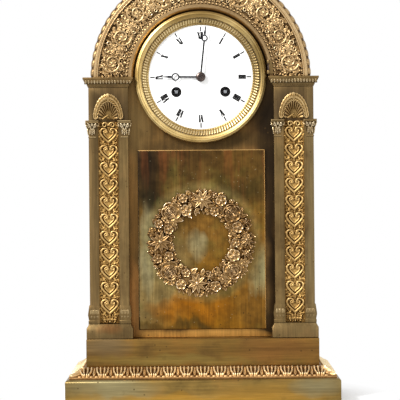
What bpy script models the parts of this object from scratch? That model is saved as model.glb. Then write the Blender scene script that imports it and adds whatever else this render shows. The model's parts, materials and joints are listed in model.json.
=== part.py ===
"""A gilt bronze mantel clock with a round-plate movement, in metres, +Z up, front towards -Y.

The origin is the middle of the resting face. Pieces of the dial and the movement hang on the empty
DIAL_CENTRE, whose X is the clock's X, whose Y is up and whose Z points out of the dial, so a depth there
is a height over the middle plane of the case, positive towards the viewer.
"""

import math

import bmesh
import bpy
from mathutils import Matrix

# Clearances
SEAT_GAP = 0.0003
RUNNING_GAP = 0.0003
PIVOT_GAP = 0.0004

# Base
PLINTH_WIDTH = 0.252
PLINTH_DEPTH = 0.130
PLINTH_HEIGHT = 0.0236
PLINTH_SHOULDER = 0.0018
MOULDING_HEIGHT = 0.0096
MOULDING_RUN = 0.0140
MOULDING_FILLET = 0.0016
UPPER_PLINTH_OVERHANG = 0.0074
UPPER_PLINTH_HEIGHT = 0.0254
UPPER_PLINTH_FRONT = 0.0464
UPPER_PLINTH_BACK = 0.0610

# Piers, one each side of the front
PIER_OVERHANG = 0.0039
PIER_WIDTH = 0.0364
PIER_HEIGHT = 0.2177
PIER_PROUD = 0.0107
BLOCK_HEIGHT = 0.0136
BLOCK_SPREAD = 0.0032
BLOCK_BEVEL = 0.0040
IMPOST_HEIGHT = 0.0093
IMPOST_SPREAD = 0.0050
NICHE_WIDTH = 0.0191
NICHE_DEPTH = 0.0052
NICHE_HEAD_DROP = 0.0214
NICHE_LEG = 0.0086
NICHE_BAND = 0.0048
NICHE_BAND_PROUD = 0.0016
NICHE_BAND_LAP = 0.0009
SHELL_FLUTES = 13
SHELL_THICKNESS = 0.0009
CAPITAL_HEIGHT = 0.0162
CAPITAL_SPREAD = 0.0030
FOOT_HEIGHT = 0.0136
FOOT_SPREAD = 0.0014
FOOT_FILLET = 0.0032
HEARTS = 11
HEART_HEIGHT = 0.0150
HEART_WIDTH = 0.0136
HEART_RIBBON = 0.0021
HEART_SUNK = 0.0006
HEART_ROOT = 0.0005
HEART_TOP = 0.0135
HEART_FOOT = 0.0143
STRIP_FACE = 0.0022
STRIP_HEAD_GAP = 0.0016

# Front wall, panel and wreath
WALL_FACE = 0.0314
WALL_THICKNESS = 0.0030
WALL_HOLE_RADIUS = 0.0540
CASE_RADIUS = 0.1000
CASE_SHEET = 0.0020
CASE_DEPTH = 0.0867
PANEL_WIDTH = 0.1182
PANEL_THICKNESS = 0.0021
PANEL_SILL = 0.0071
PANEL_HEAD_GAP = 0.00635
WREATH_RADIUS = 0.0385
WREATH_BREADTH = 0.0190
WREATH_HEIGHT = 0.0046
WREATH_LOWERED = 0.0016
ROSE_RADIUS = 0.0086
ROSE_HEIGHT = 0.0078
FLOWER_RADIUS = 0.0066
FLOWER_HEIGHT = 0.0066
BOSS_FOOT = 0.0006

# Arch over the dial
ARCH_BEZEL_GAP = 0.00065
ARCH_COVE_DEPTH = 0.0047
ARCH_PEARLS = 0.0678
PEARL_RADIUS = 0.0014
ARCH_BAND_WIDTH = 0.0046
ARCH_LEAF_WIDTH = 0.0037
ARCH_OVERHANG = 0.0027
ARCH_PROUD = 0.0110
FRIEZE_SUNK = 0.0016
LEAF_EDGE_FALL = 0.0050

# Dial, sight ring and bezel
DIAL_RADIUS = 0.0496
DIAL_THICKNESS = 0.0016
DIAL_EDGE_FACE = 0.0309
DIAL_CROWN = 0.0021
DIAL_CENTRE_HOLE = 0.0032
WINDING_HOLE = 0.0044
SIGHT_RADIUS = 0.0485
SIGHT_RING_OUTER = 0.0554
SIGHT_RING_CREST = 0.0526
SIGHT_RING_PROUD = 0.0031
SIGHT_RING_EDGE = 0.0014
BEZEL_INNER = 0.0559
BEZEL_OUTER = 0.06105
BEZEL_PROUD = 0.0101
GLASS_RADIUS = 0.0584
GLASS_THICKNESS = 0.0014
GLASS_CROWN = 0.0040
GLASS_SEAT = 0.0070
BEZEL_AXIS_X = 0.0624
BEZEL_AXIS_FACE = 0.0426
HINGE_BARREL = 0.0013
HINGE_PIN = 0.00055
HINGE_BOTTOM = 0.0020
HINGE_LEAF = 0.0030
HINGE_MIDDLE = 0.0060

# Hands, at the minute that the clock shows at rest
MINUTE_ANGLE = 6.0
HOUR_ANGLE = 270.5
HAND_THICKNESS = 0.0005
HOUR_HAND_FACE = 0.0347
MINUTE_HAND_FACE = 0.0363
MINUTE_HAND_LENGTH = 0.0472
MINUTE_MOON_AT = 0.0361
MINUTE_MOON_RADIUS = 0.0031
HOUR_HAND_LENGTH = 0.0352
HOUR_MOON_AT = 0.0234
HOUR_MOON_RADIUS = 0.0037
HAND_STEM = 0.0011
BOSS_RADIUS = 0.0042

# Movement plates and pillars, depths over the middle plane of the case
PLATE_RADIUS = 0.0460
PLATE_THICKNESS = 0.0025
FRONT_PLATE_BACK = 0.0200
BACK_PLATE_FRONT = -0.0130
PILLAR_RADIUS = 0.0022
PILLARS = ((0.0170, 0.0385), (-0.0170, 0.0385), (0.0120, -0.0405), (-0.0120, -0.0405))

# Arbors, as seen from the front, from the dial's centre
CENTRE_AT = (0.0, 0.0)
GOING_BARREL_AT = (0.0227, -0.0137)
STRIKE_BARREL_AT = (-0.0227, -0.0137)
GOING_SECOND_AT = (0.0140, 0.0040)
STRIKE_SECOND_AT = (-0.0140, 0.0040)
THIRD_AT = (0.0, 0.0145)
ESCAPE_AT = (0.0, 0.0270)
ANCHOR_AT = (0.0, 0.0400)
MINUTE_WHEEL_AT = (-0.0075, -0.0070)
PIN_WHEEL_AT = (-0.0255, 0.0120)
WARNING_AT = (-0.0215, 0.0245)
FLY_AT = (-0.0132, 0.0320)
HAMMER_AT = (-0.0400, -0.0010)
REGULATOR_AT = (0.0, 0.0519)
COCK_SPAN = 0.0220

# Wheelwork
BARREL_TEETH = 36
SECOND_TEETH = 28
CENTRE_TEETH = 30
THIRD_TEETH = 27
STRIKE_SECOND_TEETH = 30
PIN_WHEEL_TEETH = 27
WARNING_TEETH = 27
CENTRE_LEAVES = 7
LEAVES = 6
CANNON_LEAVES = 8
MINUTE_TEETH = 24
HOUR_TEETH = 24
# One tooth's corners: (modules out from the pitch circle, modules along it from the tooth's middle)
WHEEL_TOOTH = ((0.85, -0.15), (0.85, 0.15), (-1.25, 1.5708))
PINION_LEAF = ((-1.25, -0.70), (0.70, -0.20), (0.70, 0.20), (-1.25, 0.70))
ESCAPE_TEETH = 24
ESCAPE_RADIUS = 0.0086
WHEEL_THICKNESS = 0.0013
PINION_LENGTH = 0.0026
BARREL_RADIUS = 0.0150
ARBOR_RADIUS = 0.0010
PIVOT_RADIUS = 0.0006
WINDING_RADIUS = 0.0018
WINDING_SQUARE = 0.0034
SPOKES = 4
SPOKE_WIDTH = 0.0016
WHEEL_HUB = 0.0034
STRIKE_PINS = 6
COUNTED_HOURS = 12

# Depths of the layers of wheels
BARREL_LAYER = 0.0178
SECOND_LAYER = 0.0008
CENTRE_LAYER = -0.0024
THIRD_LAYER = 0.0094
ESCAPE_LAYER = -0.0091
STRIKE_SECOND_LAYER = -0.0056
PIN_LAYER = 0.0008
COUNT_LAYER = -0.0173
CANNON_LAYER = 0.0242
HOUR_LAYER = 0.0269
CRUTCH_LAYER = -0.0170
COCK_LAYER = -0.0200
PENDULUM_LAYER = -0.0230

# Pendulum, bell and hammer
PENDULUM_LENGTH = 0.1150
BOB_RADIUS = 0.0170
BOB_THICKNESS = 0.0070
ROD_RADIUS = 0.0008
CRUTCH_LENGTH = 0.0270
BELL_AT = (0.0060, -0.0060)
BELL_RADIUS = 0.0300
BELL_MOUTH = -0.0260
BELL_DEPTH = 0.0205
BELL_WALL = 0.0014
BELL_STAND_AT = (0.0260, -0.0340)
STAND_RADIUS = 0.0016
HAMMER_HEAD_RADIUS = 0.0028
HAMMER_HEAD_ANGLE = 205.0
HAMMER_REST_GAP = 0.0012

# Back
BACK_HOLE_RADIUS = 0.0520
DOOR_RADIUS = 0.0514
DOOR_THICKNESS = 0.0020
DOOR_AXIS_X = 0.0534
DOOR_AXIS_BEHIND = 0.0018
DOOR_BARREL = 0.0014
STRAP_INNER = 0.0500
STRAP_THICKNESS = 0.0016
STRAP_WIDTH = 0.0100
STRAP_FOOT = 0.0080

# Heights of the courses, from the ground up
MOULDING_Z = PLINTH_HEIGHT + SEAT_GAP
UPPER_PLINTH_Z = MOULDING_Z + MOULDING_HEIGHT + SEAT_GAP
BLOCK_Z = UPPER_PLINTH_Z + UPPER_PLINTH_HEIGHT + SEAT_GAP
PIER_Z = BLOCK_Z + BLOCK_HEIGHT + SEAT_GAP
IMPOST_Z = PIER_Z + PIER_HEIGHT + SEAT_GAP
CENTRE_Z = IMPOST_Z + IMPOST_HEIGHT + SEAT_GAP
PANEL_Z = BLOCK_Z + PANEL_SILL
PANEL_HEIGHT = CENTRE_Z - BEZEL_OUTER - PANEL_HEAD_GAP - PANEL_Z
WREATH_DROP = CENTRE_Z - (PANEL_Z + PANEL_HEIGHT / 2 - WREATH_LOWERED)

# Widths and radii that follow the case, and the arch round the bezel
UPPER_PLINTH_WIDTH = 2 * (CASE_RADIUS + UPPER_PLINTH_OVERHANG)
PIER_OFFSET = CASE_RADIUS + PIER_OVERHANG - PIER_WIDTH / 2
ARCH_COVE_BACK = BEZEL_OUTER + ARCH_BEZEL_GAP
ARCH_COVE_FRONT = ARCH_COVE_BACK + ARCH_COVE_DEPTH
ARCH_OUTER = CASE_RADIUS + ARCH_OVERHANG
ARCH_BAND_OUTER = ARCH_OUTER - ARCH_LEAF_WIDTH
ARCH_FRIEZE_OUTER = ARCH_BAND_OUTER - ARCH_BAND_WIDTH

# Depths of the piers, niches and case
PIER_BACK = WALL_FACE + SEAT_GAP
PIER_FACE = PIER_BACK + PIER_PROUD
PILASTER_WIDTH = (PIER_WIDTH - NICHE_WIDTH) / 2
NICHE_RADIUS = (NICHE_WIDTH**2 / 4 + NICHE_DEPTH**2) / (2 * NICHE_DEPTH)
NICHE_CENTRE_Z = PIER_Z + PIER_HEIGHT - NICHE_HEAD_DROP
SPRING_Z = NICHE_CENTRE_Z - NICHE_LEG
STRIP_HEIGHT = SPRING_Z - STRIP_HEAD_GAP - PIER_Z - SEAT_GAP
HEART_PITCH = (STRIP_HEIGHT - HEART_TOP - HEART_FOOT) / (HEARTS - 1)
CASE_FRONT = WALL_FACE - WALL_THICKNESS
CASE_BACK = CASE_FRONT - CASE_DEPTH

QUARTER = math.pi / 2
# Facets round the dial's rings and the holes that they stand in, which stay in step
ROUND = 28


def clear_scene():
    for obj in list(bpy.data.objects):
        bpy.data.objects.remove(obj, do_unlink=True)


def new_collection(name, hidden=False):
    collection = bpy.data.collections.new(name)
    bpy.context.scene.collection.children.link(collection)
    collection.hide_render = hidden
    return collection


clear_scene()
PARTS = new_collection("bronze_mantel_clock")
HELPERS = new_collection("clock_cutters", hidden=True)


def new_material(name, colour, roughness, metallic):
    material = bpy.data.materials.new(name)
    material.use_nodes = True
    shader = material.node_tree.nodes["Principled BSDF"]
    shader.inputs["Base Color"].default_value = (*colour, 1.0)
    shader.inputs["Roughness"].default_value = roughness
    shader.inputs["Metallic"].default_value = metallic
    return material


PLAIN_BRONZE = new_material("toned gilt bronze sheet", (0.26, 0.16, 0.055), 0.38, 1.0)
CAST_GILT = new_material("matt gilt bronze casting", (0.60, 0.40, 0.17), 0.45, 1.0)
BRIGHT_GILT = new_material("burnished gilt bezel", (0.72, 0.50, 0.19), 0.25, 1.0)
ENAMEL = new_material("white fired enamel", (0.86, 0.86, 0.84), 0.15, 0.0)
BLUED = new_material("blued steel", (0.012, 0.014, 0.03), 0.30, 1.0)
BRASS = new_material("clock brass", (0.68, 0.48, 0.18), 0.30, 1.0)
STEEL = new_material("clock steel", (0.42, 0.42, 0.43), 0.28, 1.0)
BELL_METAL = new_material("bell metal", (0.55, 0.42, 0.24), 0.30, 1.0)
SILK = new_material("silk thread", (0.45, 0.36, 0.22), 0.80, 0.0)
CLEAR = new_material("window glass", (0.90, 0.93, 0.92), 0.05, 0.0)


def new_empty(name, location, rotation=(0, 0, 0)):
    empty = bpy.data.objects.new(name, None)
    empty.location = location
    empty.rotation_euler = rotation
    PARTS.objects.link(empty)
    return empty


DIAL = new_empty("DIAL_CENTRE", (0, 0, CENTRE_Z), (QUARTER, 0, 0))


def add(name, bm, material, parent=None, at=(0, 0, 0), helper=False):
    """Turns a bmesh into an object, in the parts or among the hidden helpers."""
    mesh = bpy.data.meshes.new(name)
    bm.normal_update()
    bm.to_mesh(mesh)
    bm.free()
    mesh.shade_smooth()
    mesh.set_sharp_from_angle(angle=math.radians(35))
    obj = bpy.data.objects.new(name, mesh)
    mesh.materials.append(material)
    obj.parent = parent
    obj.location = at
    if helper:
        obj.hide_render = True
        obj.display_type = "WIRE"
        HELPERS.objects.link(obj)
    else:
        PARTS.objects.link(obj)
    return obj


def boolean(piece, operation, *helpers):
    for helper in helpers:
        modifier = piece.modifiers.new(helper.name, "BOOLEAN")
        modifier.operation = operation
        modifier.object = helper
        modifier.solver = "EXACT"
    return piece


def join(piece, *bmeshes):
    """Unites further shapes, given in the piece's own space, with the piece."""
    return work_on(piece, "UNION", bmeshes)


def cut(piece, *bmeshes):
    return work_on(piece, "DIFFERENCE", bmeshes)


def work_on(piece, operation, bmeshes):
    for bm in bmeshes:
        name = f"{piece.name}_{operation.lower()}_{len(piece.modifiers)}"
        helper = add(name, bm, piece.data.materials[0], piece.parent, piece.location, helper=True)
        boolean(piece, operation, helper)
    return piece


def box(x0, x1, y0, y1, z0, z1):
    size = Matrix.Diagonal((x1 - x0, y1 - y0, z1 - z0, 1))
    middle = Matrix.Translation(((x0 + x1) / 2, (y0 + y1) / 2, (z0 + z1) / 2))
    bm = bmesh.new()
    bmesh.ops.create_cube(bm, size=1, matrix=middle @ size)
    return bm


def rod(radius, z0, z1, sides=8, at=(0, 0), top=None):
    """A cylinder, or a cone if its top radius differs, along Z."""
    bm = bmesh.new()
    place = Matrix.Translation((at[0], at[1], (z0 + z1) / 2))
    bmesh.ops.create_cone(
        bm, cap_ends=True, segments=sides, radius1=radius, radius2=radius if top is None else top,
        depth=z1 - z0, matrix=place,
    )
    return bm


def turned_along(bm, matrix):
    bmesh.ops.transform(bm, matrix=matrix, verts=bm.verts)
    return bm


def evaluated(guide):
    """A bmesh of what a guide object becomes with its modifiers; the guide goes."""
    bpy.context.scene.collection.objects.link(guide)
    mesh = bpy.data.meshes.new_from_object(guide.evaluated_get(bpy.context.evaluated_depsgraph_get()))
    bpy.data.objects.remove(guide, do_unlink=True)
    bm = bmesh.new()
    bm.from_mesh(mesh)
    bpy.data.meshes.remove(mesh)
    bmesh.ops.remove_doubles(bm, verts=bm.verts, dist=1e-7)
    return bm


def turned(profile, steps, closed, angle=2 * math.pi):
    """Turns a profile of (radius, height) points round Z. A closed profile makes a ring."""
    mesh = bpy.data.meshes.new("profile")
    edges = [(k, k + 1) for k in range(len(profile) - 1)]
    if closed:
        edges.append((len(profile) - 1, 0))
    mesh.from_pydata([(radius, 0, height) for radius, height in profile], edges, [])
    guide = bpy.data.objects.new("profile", mesh)
    screw = guide.modifiers.new("turn", "SCREW")
    screw.axis = "Z"
    screw.angle = angle
    screw.steps = steps
    screw.render_steps = steps
    screw.use_merge_vertices = True
    screw.merge_threshold = 1e-6
    bm = evaluated(guide)
    bmesh.ops.holes_fill(bm, edges=[edge for edge in bm.edges if edge.is_boundary], sides=0)
    bmesh.ops.recalc_face_normals(bm, faces=bm.faces)
    return bm


def flat(outlines, thickness, middle=0.0):
    """Extrudes closed outlines, the first with the others cut out of it, both ways from a height."""
    curve = bpy.data.curves.new("outline", "CURVE")
    curve.dimensions = "2D"
    curve.fill_mode = "BOTH"
    curve.extrude = thickness / 2
    for outline in outlines:
        spline = curve.splines.new("POLY")
        spline.points.add(len(outline) - 1)
        for point, (x, y) in zip(spline.points, outline):
            point.co = (x, y, 0, 1)
        spline.use_cyclic_u = True
    bm = evaluated(bpy.data.objects.new("outline", curve))
    bmesh.ops.recalc_face_normals(bm, faces=bm.faces)
    bmesh.ops.translate(bm, verts=bm.verts, vec=(0, 0, middle))
    return bm


def tube(points, radius, cyclic=False, resolution=1):
    """A round bar along straight runs between points."""
    curve = bpy.data.curves.new("bar", "CURVE")
    curve.dimensions = "3D"
    curve.bevel_depth = radius
    curve.bevel_resolution = resolution
    curve.use_fill_caps = True
    spline = curve.splines.new("POLY")
    spline.points.add(len(points) - 1)
    for point, place in zip(spline.points, points):
        point.co = (*place, 1)
    spline.use_cyclic_u = cyclic
    bm = evaluated(bpy.data.objects.new("bar", curve))
    bmesh.ops.recalc_face_normals(bm, faces=bm.faces)
    return bm


def circle(radius, sides, at=(0, 0), start=0.0):
    turn = 2 * math.pi / sides
    return [
        (at[0] + radius * math.cos(start + k * turn), at[1] + radius * math.sin(start + k * turn))
        for k in range(sides)
    ]


def arc(radius, first, last, steps, at=(0, 0)):
    """Points on an arc, angles in degrees."""
    angles = [math.radians(first + (last - first) * k / steps) for k in range(steps + 1)]
    return [(at[0] + radius * math.cos(a), at[1] + radius * math.sin(a)) for a in angles]


def lofted_block(x0, x1, front, back, profile, sides=(1, 1)):
    """A block whose rectangular section steps out by the profile's (projection, height) points.

    Its left and right sides project by the shares in sides, its front always, its back never.
    """
    bm = bmesh.new()
    rings = []
    for out, z in profile:
        left, right = x0 - out * sides[0], x1 + out * sides[1]
        corners = ((left, -front - out), (right, -front - out), (right, back), (left, back))
        rings.append([bm.verts.new((x, y, z)) for x, y in corners])
    for low, high in zip(rings, rings[1:]):
        for k in range(4):
            bm.faces.new((low[k], low[k - 3], high[k - 3], high[k]))
    bm.faces.new(rings[0])
    bm.faces.new(rings[-1])
    bmesh.ops.recalc_face_normals(bm, faces=bm.faces)
    return bm


def mirrored(bm):
    """The same shape on the other side of the clock's middle."""
    bmesh.ops.scale(bm, vec=(-1, 1, 1), verts=bm.verts)
    bmesh.ops.reverse_faces(bm, faces=bm.faces)
    return bm


def both_sides(name, build, material):
    """Makes the right piece, and the left one as its mirror image."""
    add(f"right_{name}", build(), material)
    add(f"left_{name}", mirrored(build()), material)


# Base


def make_base():
    half = PLINTH_WIDTH / 2
    half_depth = PLINTH_DEPTH / 2
    foot = [(0, 0), (0, PLINTH_HEIGHT - PLINTH_SHOULDER), (-PLINTH_SHOULDER, PLINTH_HEIGHT)]
    plinth = lofted_block(-half, half, half_depth, half_depth, foot)
    add("lower_plinth", plinth, PLAIN_BRONZE)

    base = MOULDING_Z
    top = base + MOULDING_HEIGHT
    leaf_top = top - MOULDING_FILLET
    hollow = [(0, base), (0, base + MOULDING_FILLET / 2)]
    steps = 6
    for k in range(1, steps + 1):
        share = k / steps
        out = -MOULDING_RUN * (share + 0.12 * math.sin(2 * math.pi * share))
        hollow.append((out, base + MOULDING_FILLET / 2 + (leaf_top - base - MOULDING_FILLET / 2) * share))
    hollow += [(-MOULDING_RUN - 0.0006, leaf_top + 0.0002), (-MOULDING_RUN - 0.0006, top)]
    edge = half - 2 * PLINTH_SHOULDER
    moulding = lofted_block(-edge, edge, half_depth - 2 * PLINTH_SHOULDER, UPPER_PLINTH_BACK, hollow)
    add("base_moulding", moulding, CAST_GILT)

    half = UPPER_PLINTH_WIDTH / 2
    add(
        "upper_plinth",
        box(-half, half, -UPPER_PLINTH_FRONT, UPPER_PLINTH_BACK,
            UPPER_PLINTH_Z, UPPER_PLINTH_Z + UPPER_PLINTH_HEIGHT),
        PLAIN_BRONZE,
    )


# Piers


def pier_sides(spread=0.0):
    return PIER_OFFSET - PIER_WIDTH / 2 - spread, PIER_OFFSET + PIER_WIDTH / 2 + spread


def pier_block():
    x0, x1 = pier_sides()
    top = BLOCK_Z + BLOCK_HEIGHT
    profile = [
        (BLOCK_SPREAD, BLOCK_Z),
        (BLOCK_SPREAD, top - BLOCK_BEVEL),
        (BLOCK_SPREAD * 0.45, top - BLOCK_BEVEL * 0.25),
        (BLOCK_SPREAD * 0.45, top),
    ]
    return lofted_block(x0, x1, PIER_FACE, -PIER_BACK, profile)


def niche_cutter(clearance=0.0):
    """The hollow of a niche: a round column with a domed head, standing through the pier's face."""
    radius = NICHE_RADIUS - clearance
    profile = [(0, PIER_Z - 0.01), (radius, PIER_Z - 0.01)]
    profile += [
        (radius * math.cos(math.radians(a)), NICHE_CENTRE_Z + radius * math.sin(math.radians(a)))
        for a in range(0, 90, 22)
    ]
    profile.append((0, NICHE_CENTRE_Z + radius))
    bm = turned(profile, 28, closed=False)
    axis_y = -PIER_FACE - NICHE_RADIUS + NICHE_DEPTH
    bmesh.ops.translate(bm, verts=bm.verts, vec=(PIER_OFFSET, axis_y, 0))
    return bm


def pilaster_ranges():
    x0, x1 = pier_sides()
    return {"inner": (x0, x0 + PILASTER_WIDTH), "outer": (x1 - PILASTER_WIDTH, x1)}


def make_piers():
    both_sides("pier_block", pier_block, PLAIN_BRONZE)
    x0, x1 = pier_sides()
    for side, turn in (("right", False), ("left", True)):
        flip = mirrored if turn else (lambda bm: bm)
        shaft = box(x0, x1, -PIER_FACE, -PIER_BACK, PIER_Z, PIER_Z + PIER_HEIGHT)
        pier = add(f"{side}_pier", flip(shaft), PLAIN_BRONZE)
        cut(pier, flip(niche_cutter()))
        for where, (low, high) in pilaster_ranges().items():
            shares = (0.3, 1) if where == "outer" else (1, 0.3)
            top = PIER_Z + FOOT_FILLET + FOOT_HEIGHT
            profile = [
                (FOOT_SPREAD, PIER_Z),
                (FOOT_SPREAD, PIER_Z + FOOT_FILLET * 0.8),
                (FOOT_SPREAD * 0.7, PIER_Z + FOOT_FILLET),
                (FOOT_SPREAD * 1.3, PIER_Z + FOOT_FILLET + FOOT_HEIGHT * 0.35),
                (FOOT_SPREAD * 0.5, top),
            ]
            foot = lofted_block(low, high, PIER_FACE, -PIER_BACK, profile, shares)
            join(pier, flip(foot))


def capital(where):
    """A small leafy capital on a pilaster's front and free side, hollow where the pilaster stands."""
    low, high = pilaster_ranges()[where]
    shares = (0.3, 1) if where == "outer" else (1, 0.3)
    top = SPRING_Z
    bottom = top - CAPITAL_HEIGHT
    profile = [
        (0.28, 0.0), (0.50, 0.06), (0.32, 0.12), (0.42, 0.45), (0.60, 0.62), (0.95, 0.86), (1.0, 1.0),
    ]
    levels = [(out * CAPITAL_SPREAD, bottom + CAPITAL_HEIGHT * z) for out, z in profile]
    return lofted_block(low, high, PIER_FACE, -PIER_BACK, levels, shares)


def pier_room():
    """The space that a pier's shaft takes, with the seat's gap round it."""
    x0, x1 = pier_sides(SEAT_GAP)
    low = PIER_Z
    high = PIER_Z + PIER_HEIGHT + SEAT_GAP
    return box(x0, x1, -PIER_FACE - SEAT_GAP, -PIER_BACK + SEAT_GAP, low, high)


def make_capitals():
    for side, turn in (("right", False), ("left", True)):
        flip = mirrored if turn else (lambda bm: bm)
        for where in ("inner", "outer"):
            piece = add(f"{side}_{where}_capital", flip(capital(where)), CAST_GILT)
            cut(piece, flip(pier_room()))


def heart_outlines(width, height):
    """An upright heart about its middle, tip down, and the opening inside its ribbon."""
    half = width / 2
    right = [(half * 0.92, height * 0.02), (half, height * 0.26), (half * 0.56, height / 2)]
    left = [(-x, y) for x, y in reversed(right)]
    heart = [(0, -height / 2)] + right + [(0, height * 0.30)] + left
    reach = half - HEART_RIBBON * 1.2
    opening = [(0, -height / 2 + HEART_RIBBON * 1.6), (reach, height * 0.19), (-reach, height * 0.19)]
    return [heart, opening]


def heart_strip():
    """A rounded bar down the back of the niche, flat in front, on which the hearts stand."""
    radius = NICHE_RADIUS - SEAT_GAP
    chord = NICHE_RADIUS - NICHE_DEPTH + STRIP_FACE
    turn = math.degrees(math.acos(chord / radius))
    outline = arc(radius, 90 - turn, 90 + turn, 4, (PIER_OFFSET, -PIER_FACE - NICHE_RADIUS + NICHE_DEPTH))
    return flat([outline], STRIP_HEIGHT, PIER_Z + SEAT_GAP + STRIP_HEIGHT / 2)


def make_heart_strips():
    top = PIER_Z + SEAT_GAP + STRIP_HEIGHT
    back = PIER_FACE - STRIP_FACE - HEART_ROOT
    face = PIER_FACE - HEART_SUNK
    for side, sign in (("right", 1), ("left", -1)):
        hearts = []
        for k in range(HEARTS):
            centre = top - HEART_TOP - k * HEART_PITCH
            bm = flat(heart_outlines(HEART_WIDTH, HEART_HEIGHT), face - back, (face + back) / 2)
            place = Matrix.Translation((sign * PIER_OFFSET, 0, centre)) @ Matrix.Rotation(QUARTER, 4, "X")
            hearts.append(turned_along(bm, place))
        strip = heart_strip() if sign > 0 else mirrored(heart_strip())
        add_and_join(f"{side}_heart_strip", strip, CAST_GILT, *hearts)


def niche_band():
    """The stilted leafy arch that frames the shell."""
    outer = NICHE_WIDTH / 2 + NICHE_BAND
    inner = NICHE_WIDTH / 2 - NICHE_BAND_LAP
    leg = NICHE_LEG - SEAT_GAP
    outline = [(outer, -leg)] + arc(outer, 0, 180, 8) + [(-outer, -leg), (-inner, -leg)]
    outline += arc(inner, 180, 0, 8) + [(inner, -leg)]
    face = PIER_FACE + SEAT_GAP
    bm = flat([outline], NICHE_BAND_PROUD, face + NICHE_BAND_PROUD / 2)
    place = Matrix.Translation((PIER_OFFSET, 0, NICHE_CENTRE_Z)) @ Matrix.Rotation(QUARTER, 4, "X")
    return turned_along(bm, place)


def niche_shell():
    """A fluted half dome in the head of the niche, its lip let into the arch's back."""
    rise = NICHE_RADIUS - NICHE_DEPTH
    axis_y = -PIER_FACE - rise
    last = math.acos((rise - SEAT_GAP - NICHE_BAND_PROUD * 0.6) / (NICHE_RADIUS - SEAT_GAP))
    flutes = SHELL_FLUTES
    rings = 3
    bm = bmesh.new()
    walls = []
    for wall in (0.0, SHELL_THICKNESS):
        rows = []
        for j in range(rings):
            tilt = math.radians(14) + (last - math.radians(14)) * j / (rings - 1)
            row = []
            for k in range(flutes + 1):
                around = math.radians(-20 + 220 * k / flutes)
                ball = NICHE_RADIUS - SEAT_GAP - wall - 0.0006 * (k % 2) * min(j, 1)
                out = ball * math.sin(tilt)
                place = (out * math.cos(around), ball * math.cos(tilt), out * math.sin(around))
                row.append(bm.verts.new(place))
            rows.append(row)
        walls.append(rows)
    outer, inner = walls
    for j in range(rings - 1):
        for k in range(flutes):
            bm.faces.new((outer[j][k], outer[j + 1][k], outer[j + 1][k + 1], outer[j][k + 1]))
            bm.faces.new((inner[j][k + 1], inner[j + 1][k + 1], inner[j + 1][k], inner[j][k]))
        for k in (0, flutes):
            bm.faces.new((outer[j + 1][k], outer[j][k], inner[j][k], inner[j + 1][k]))
    for k in range(flutes):
        for j in (0, rings - 1):
            bm.faces.new((outer[j][k], outer[j][k + 1], inner[j][k + 1], inner[j][k]))
    bmesh.ops.recalc_face_normals(bm, faces=bm.faces)
    bmesh.ops.translate(bm, verts=bm.verts, vec=(PIER_OFFSET, axis_y, NICHE_CENTRE_Z))
    return bm


def make_niche_heads():
    add_and_join("right_niche_head", niche_band(), CAST_GILT, niche_shell())
    add_and_join("left_niche_head", mirrored(niche_band()), CAST_GILT, mirrored(niche_shell()))


def add_and_join(name, bm, material, *others, parent=None, at=(0, 0, 0)):
    return join(add(name, bm, material, parent, at), *others)


def impost():
    x0, x1 = pier_sides()
    height = IMPOST_HEIGHT
    profile = [
        (0.10, 0.0), (0.10, 0.10), (0.22, 0.16), (0.30, 0.34), (0.66, 0.52), (0.86, 0.66), (0.86, 0.74),
        (1.0, 0.80), (1.0, 1.0),
    ]
    levels = [(out * IMPOST_SPREAD, IMPOST_Z + height * z) for out, z in profile]
    return lofted_block(x0, x1, PIER_FACE, -PIER_BACK, levels)


# Front wall, panel and wreath


def arched_outline(radius, steps=24):
    """The clock's outline seen from the front, about the dial's centre."""
    foot = BLOCK_Z - CENTRE_Z
    return [(-radius, foot), (radius, foot)] + arc(radius, 0, 180, steps)


def make_front():
    wall = flat(
        [arched_outline(CASE_RADIUS), circle(WALL_HOLE_RADIUS, ROUND)],
        WALL_THICKNESS, WALL_FACE - WALL_THICKNESS / 2,
    )
    add("front_wall", wall, PLAIN_BRONZE, DIAL)

    low = PANEL_Z
    back = WALL_FACE + SEAT_GAP
    half = PANEL_WIDTH / 2
    panel = box(-half, half, -back - PANEL_THICKNESS, -back, low, low + PANEL_HEIGHT)
    bmesh.ops.bevel(
        panel, geom=[e for e in panel.edges if all(v.co.y < -back - PANEL_THICKNESS / 2 for v in e.verts)],
        offset=PANEL_THICKNESS * 0.3, segments=1, profile=0.5, affect="EDGES",
    )
    add("front_panel", panel, PLAIN_BRONZE)
    make_wreath(back + PANEL_THICKNESS + SEAT_GAP)


def dome(radius, height, base, at, steps):
    """A low rounded boss, its underside just off the plane at base."""
    low = base + BOSS_FOOT
    profile = [
        (radius * math.sin(math.radians(a)), low + (height - BOSS_FOOT) * math.cos(math.radians(a)))
        for a in (0, 50, 90)
    ]
    bm = turned(profile + [(0, low)], steps, closed=False)
    bmesh.ops.translate(bm, verts=bm.verts, vec=(at[0], at[1], 0))
    return bm


def flower(radius, height, base, at, petals=5, start=0.0):
    """An open flower: a lobed plate with a button."""
    outline = []
    for k in range(petals * 2):
        reach = radius if k % 2 == 0 else radius * 0.62
        angle = start + math.pi * k / petals
        outline.append((reach * math.cos(angle), reach * math.sin(angle)))
    outline = [(x + at[0], y + at[1]) for x, y in outline]
    thickness = height - BOSS_FOOT
    return flat([outline], thickness, base + BOSS_FOOT + thickness / 2)


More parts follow.
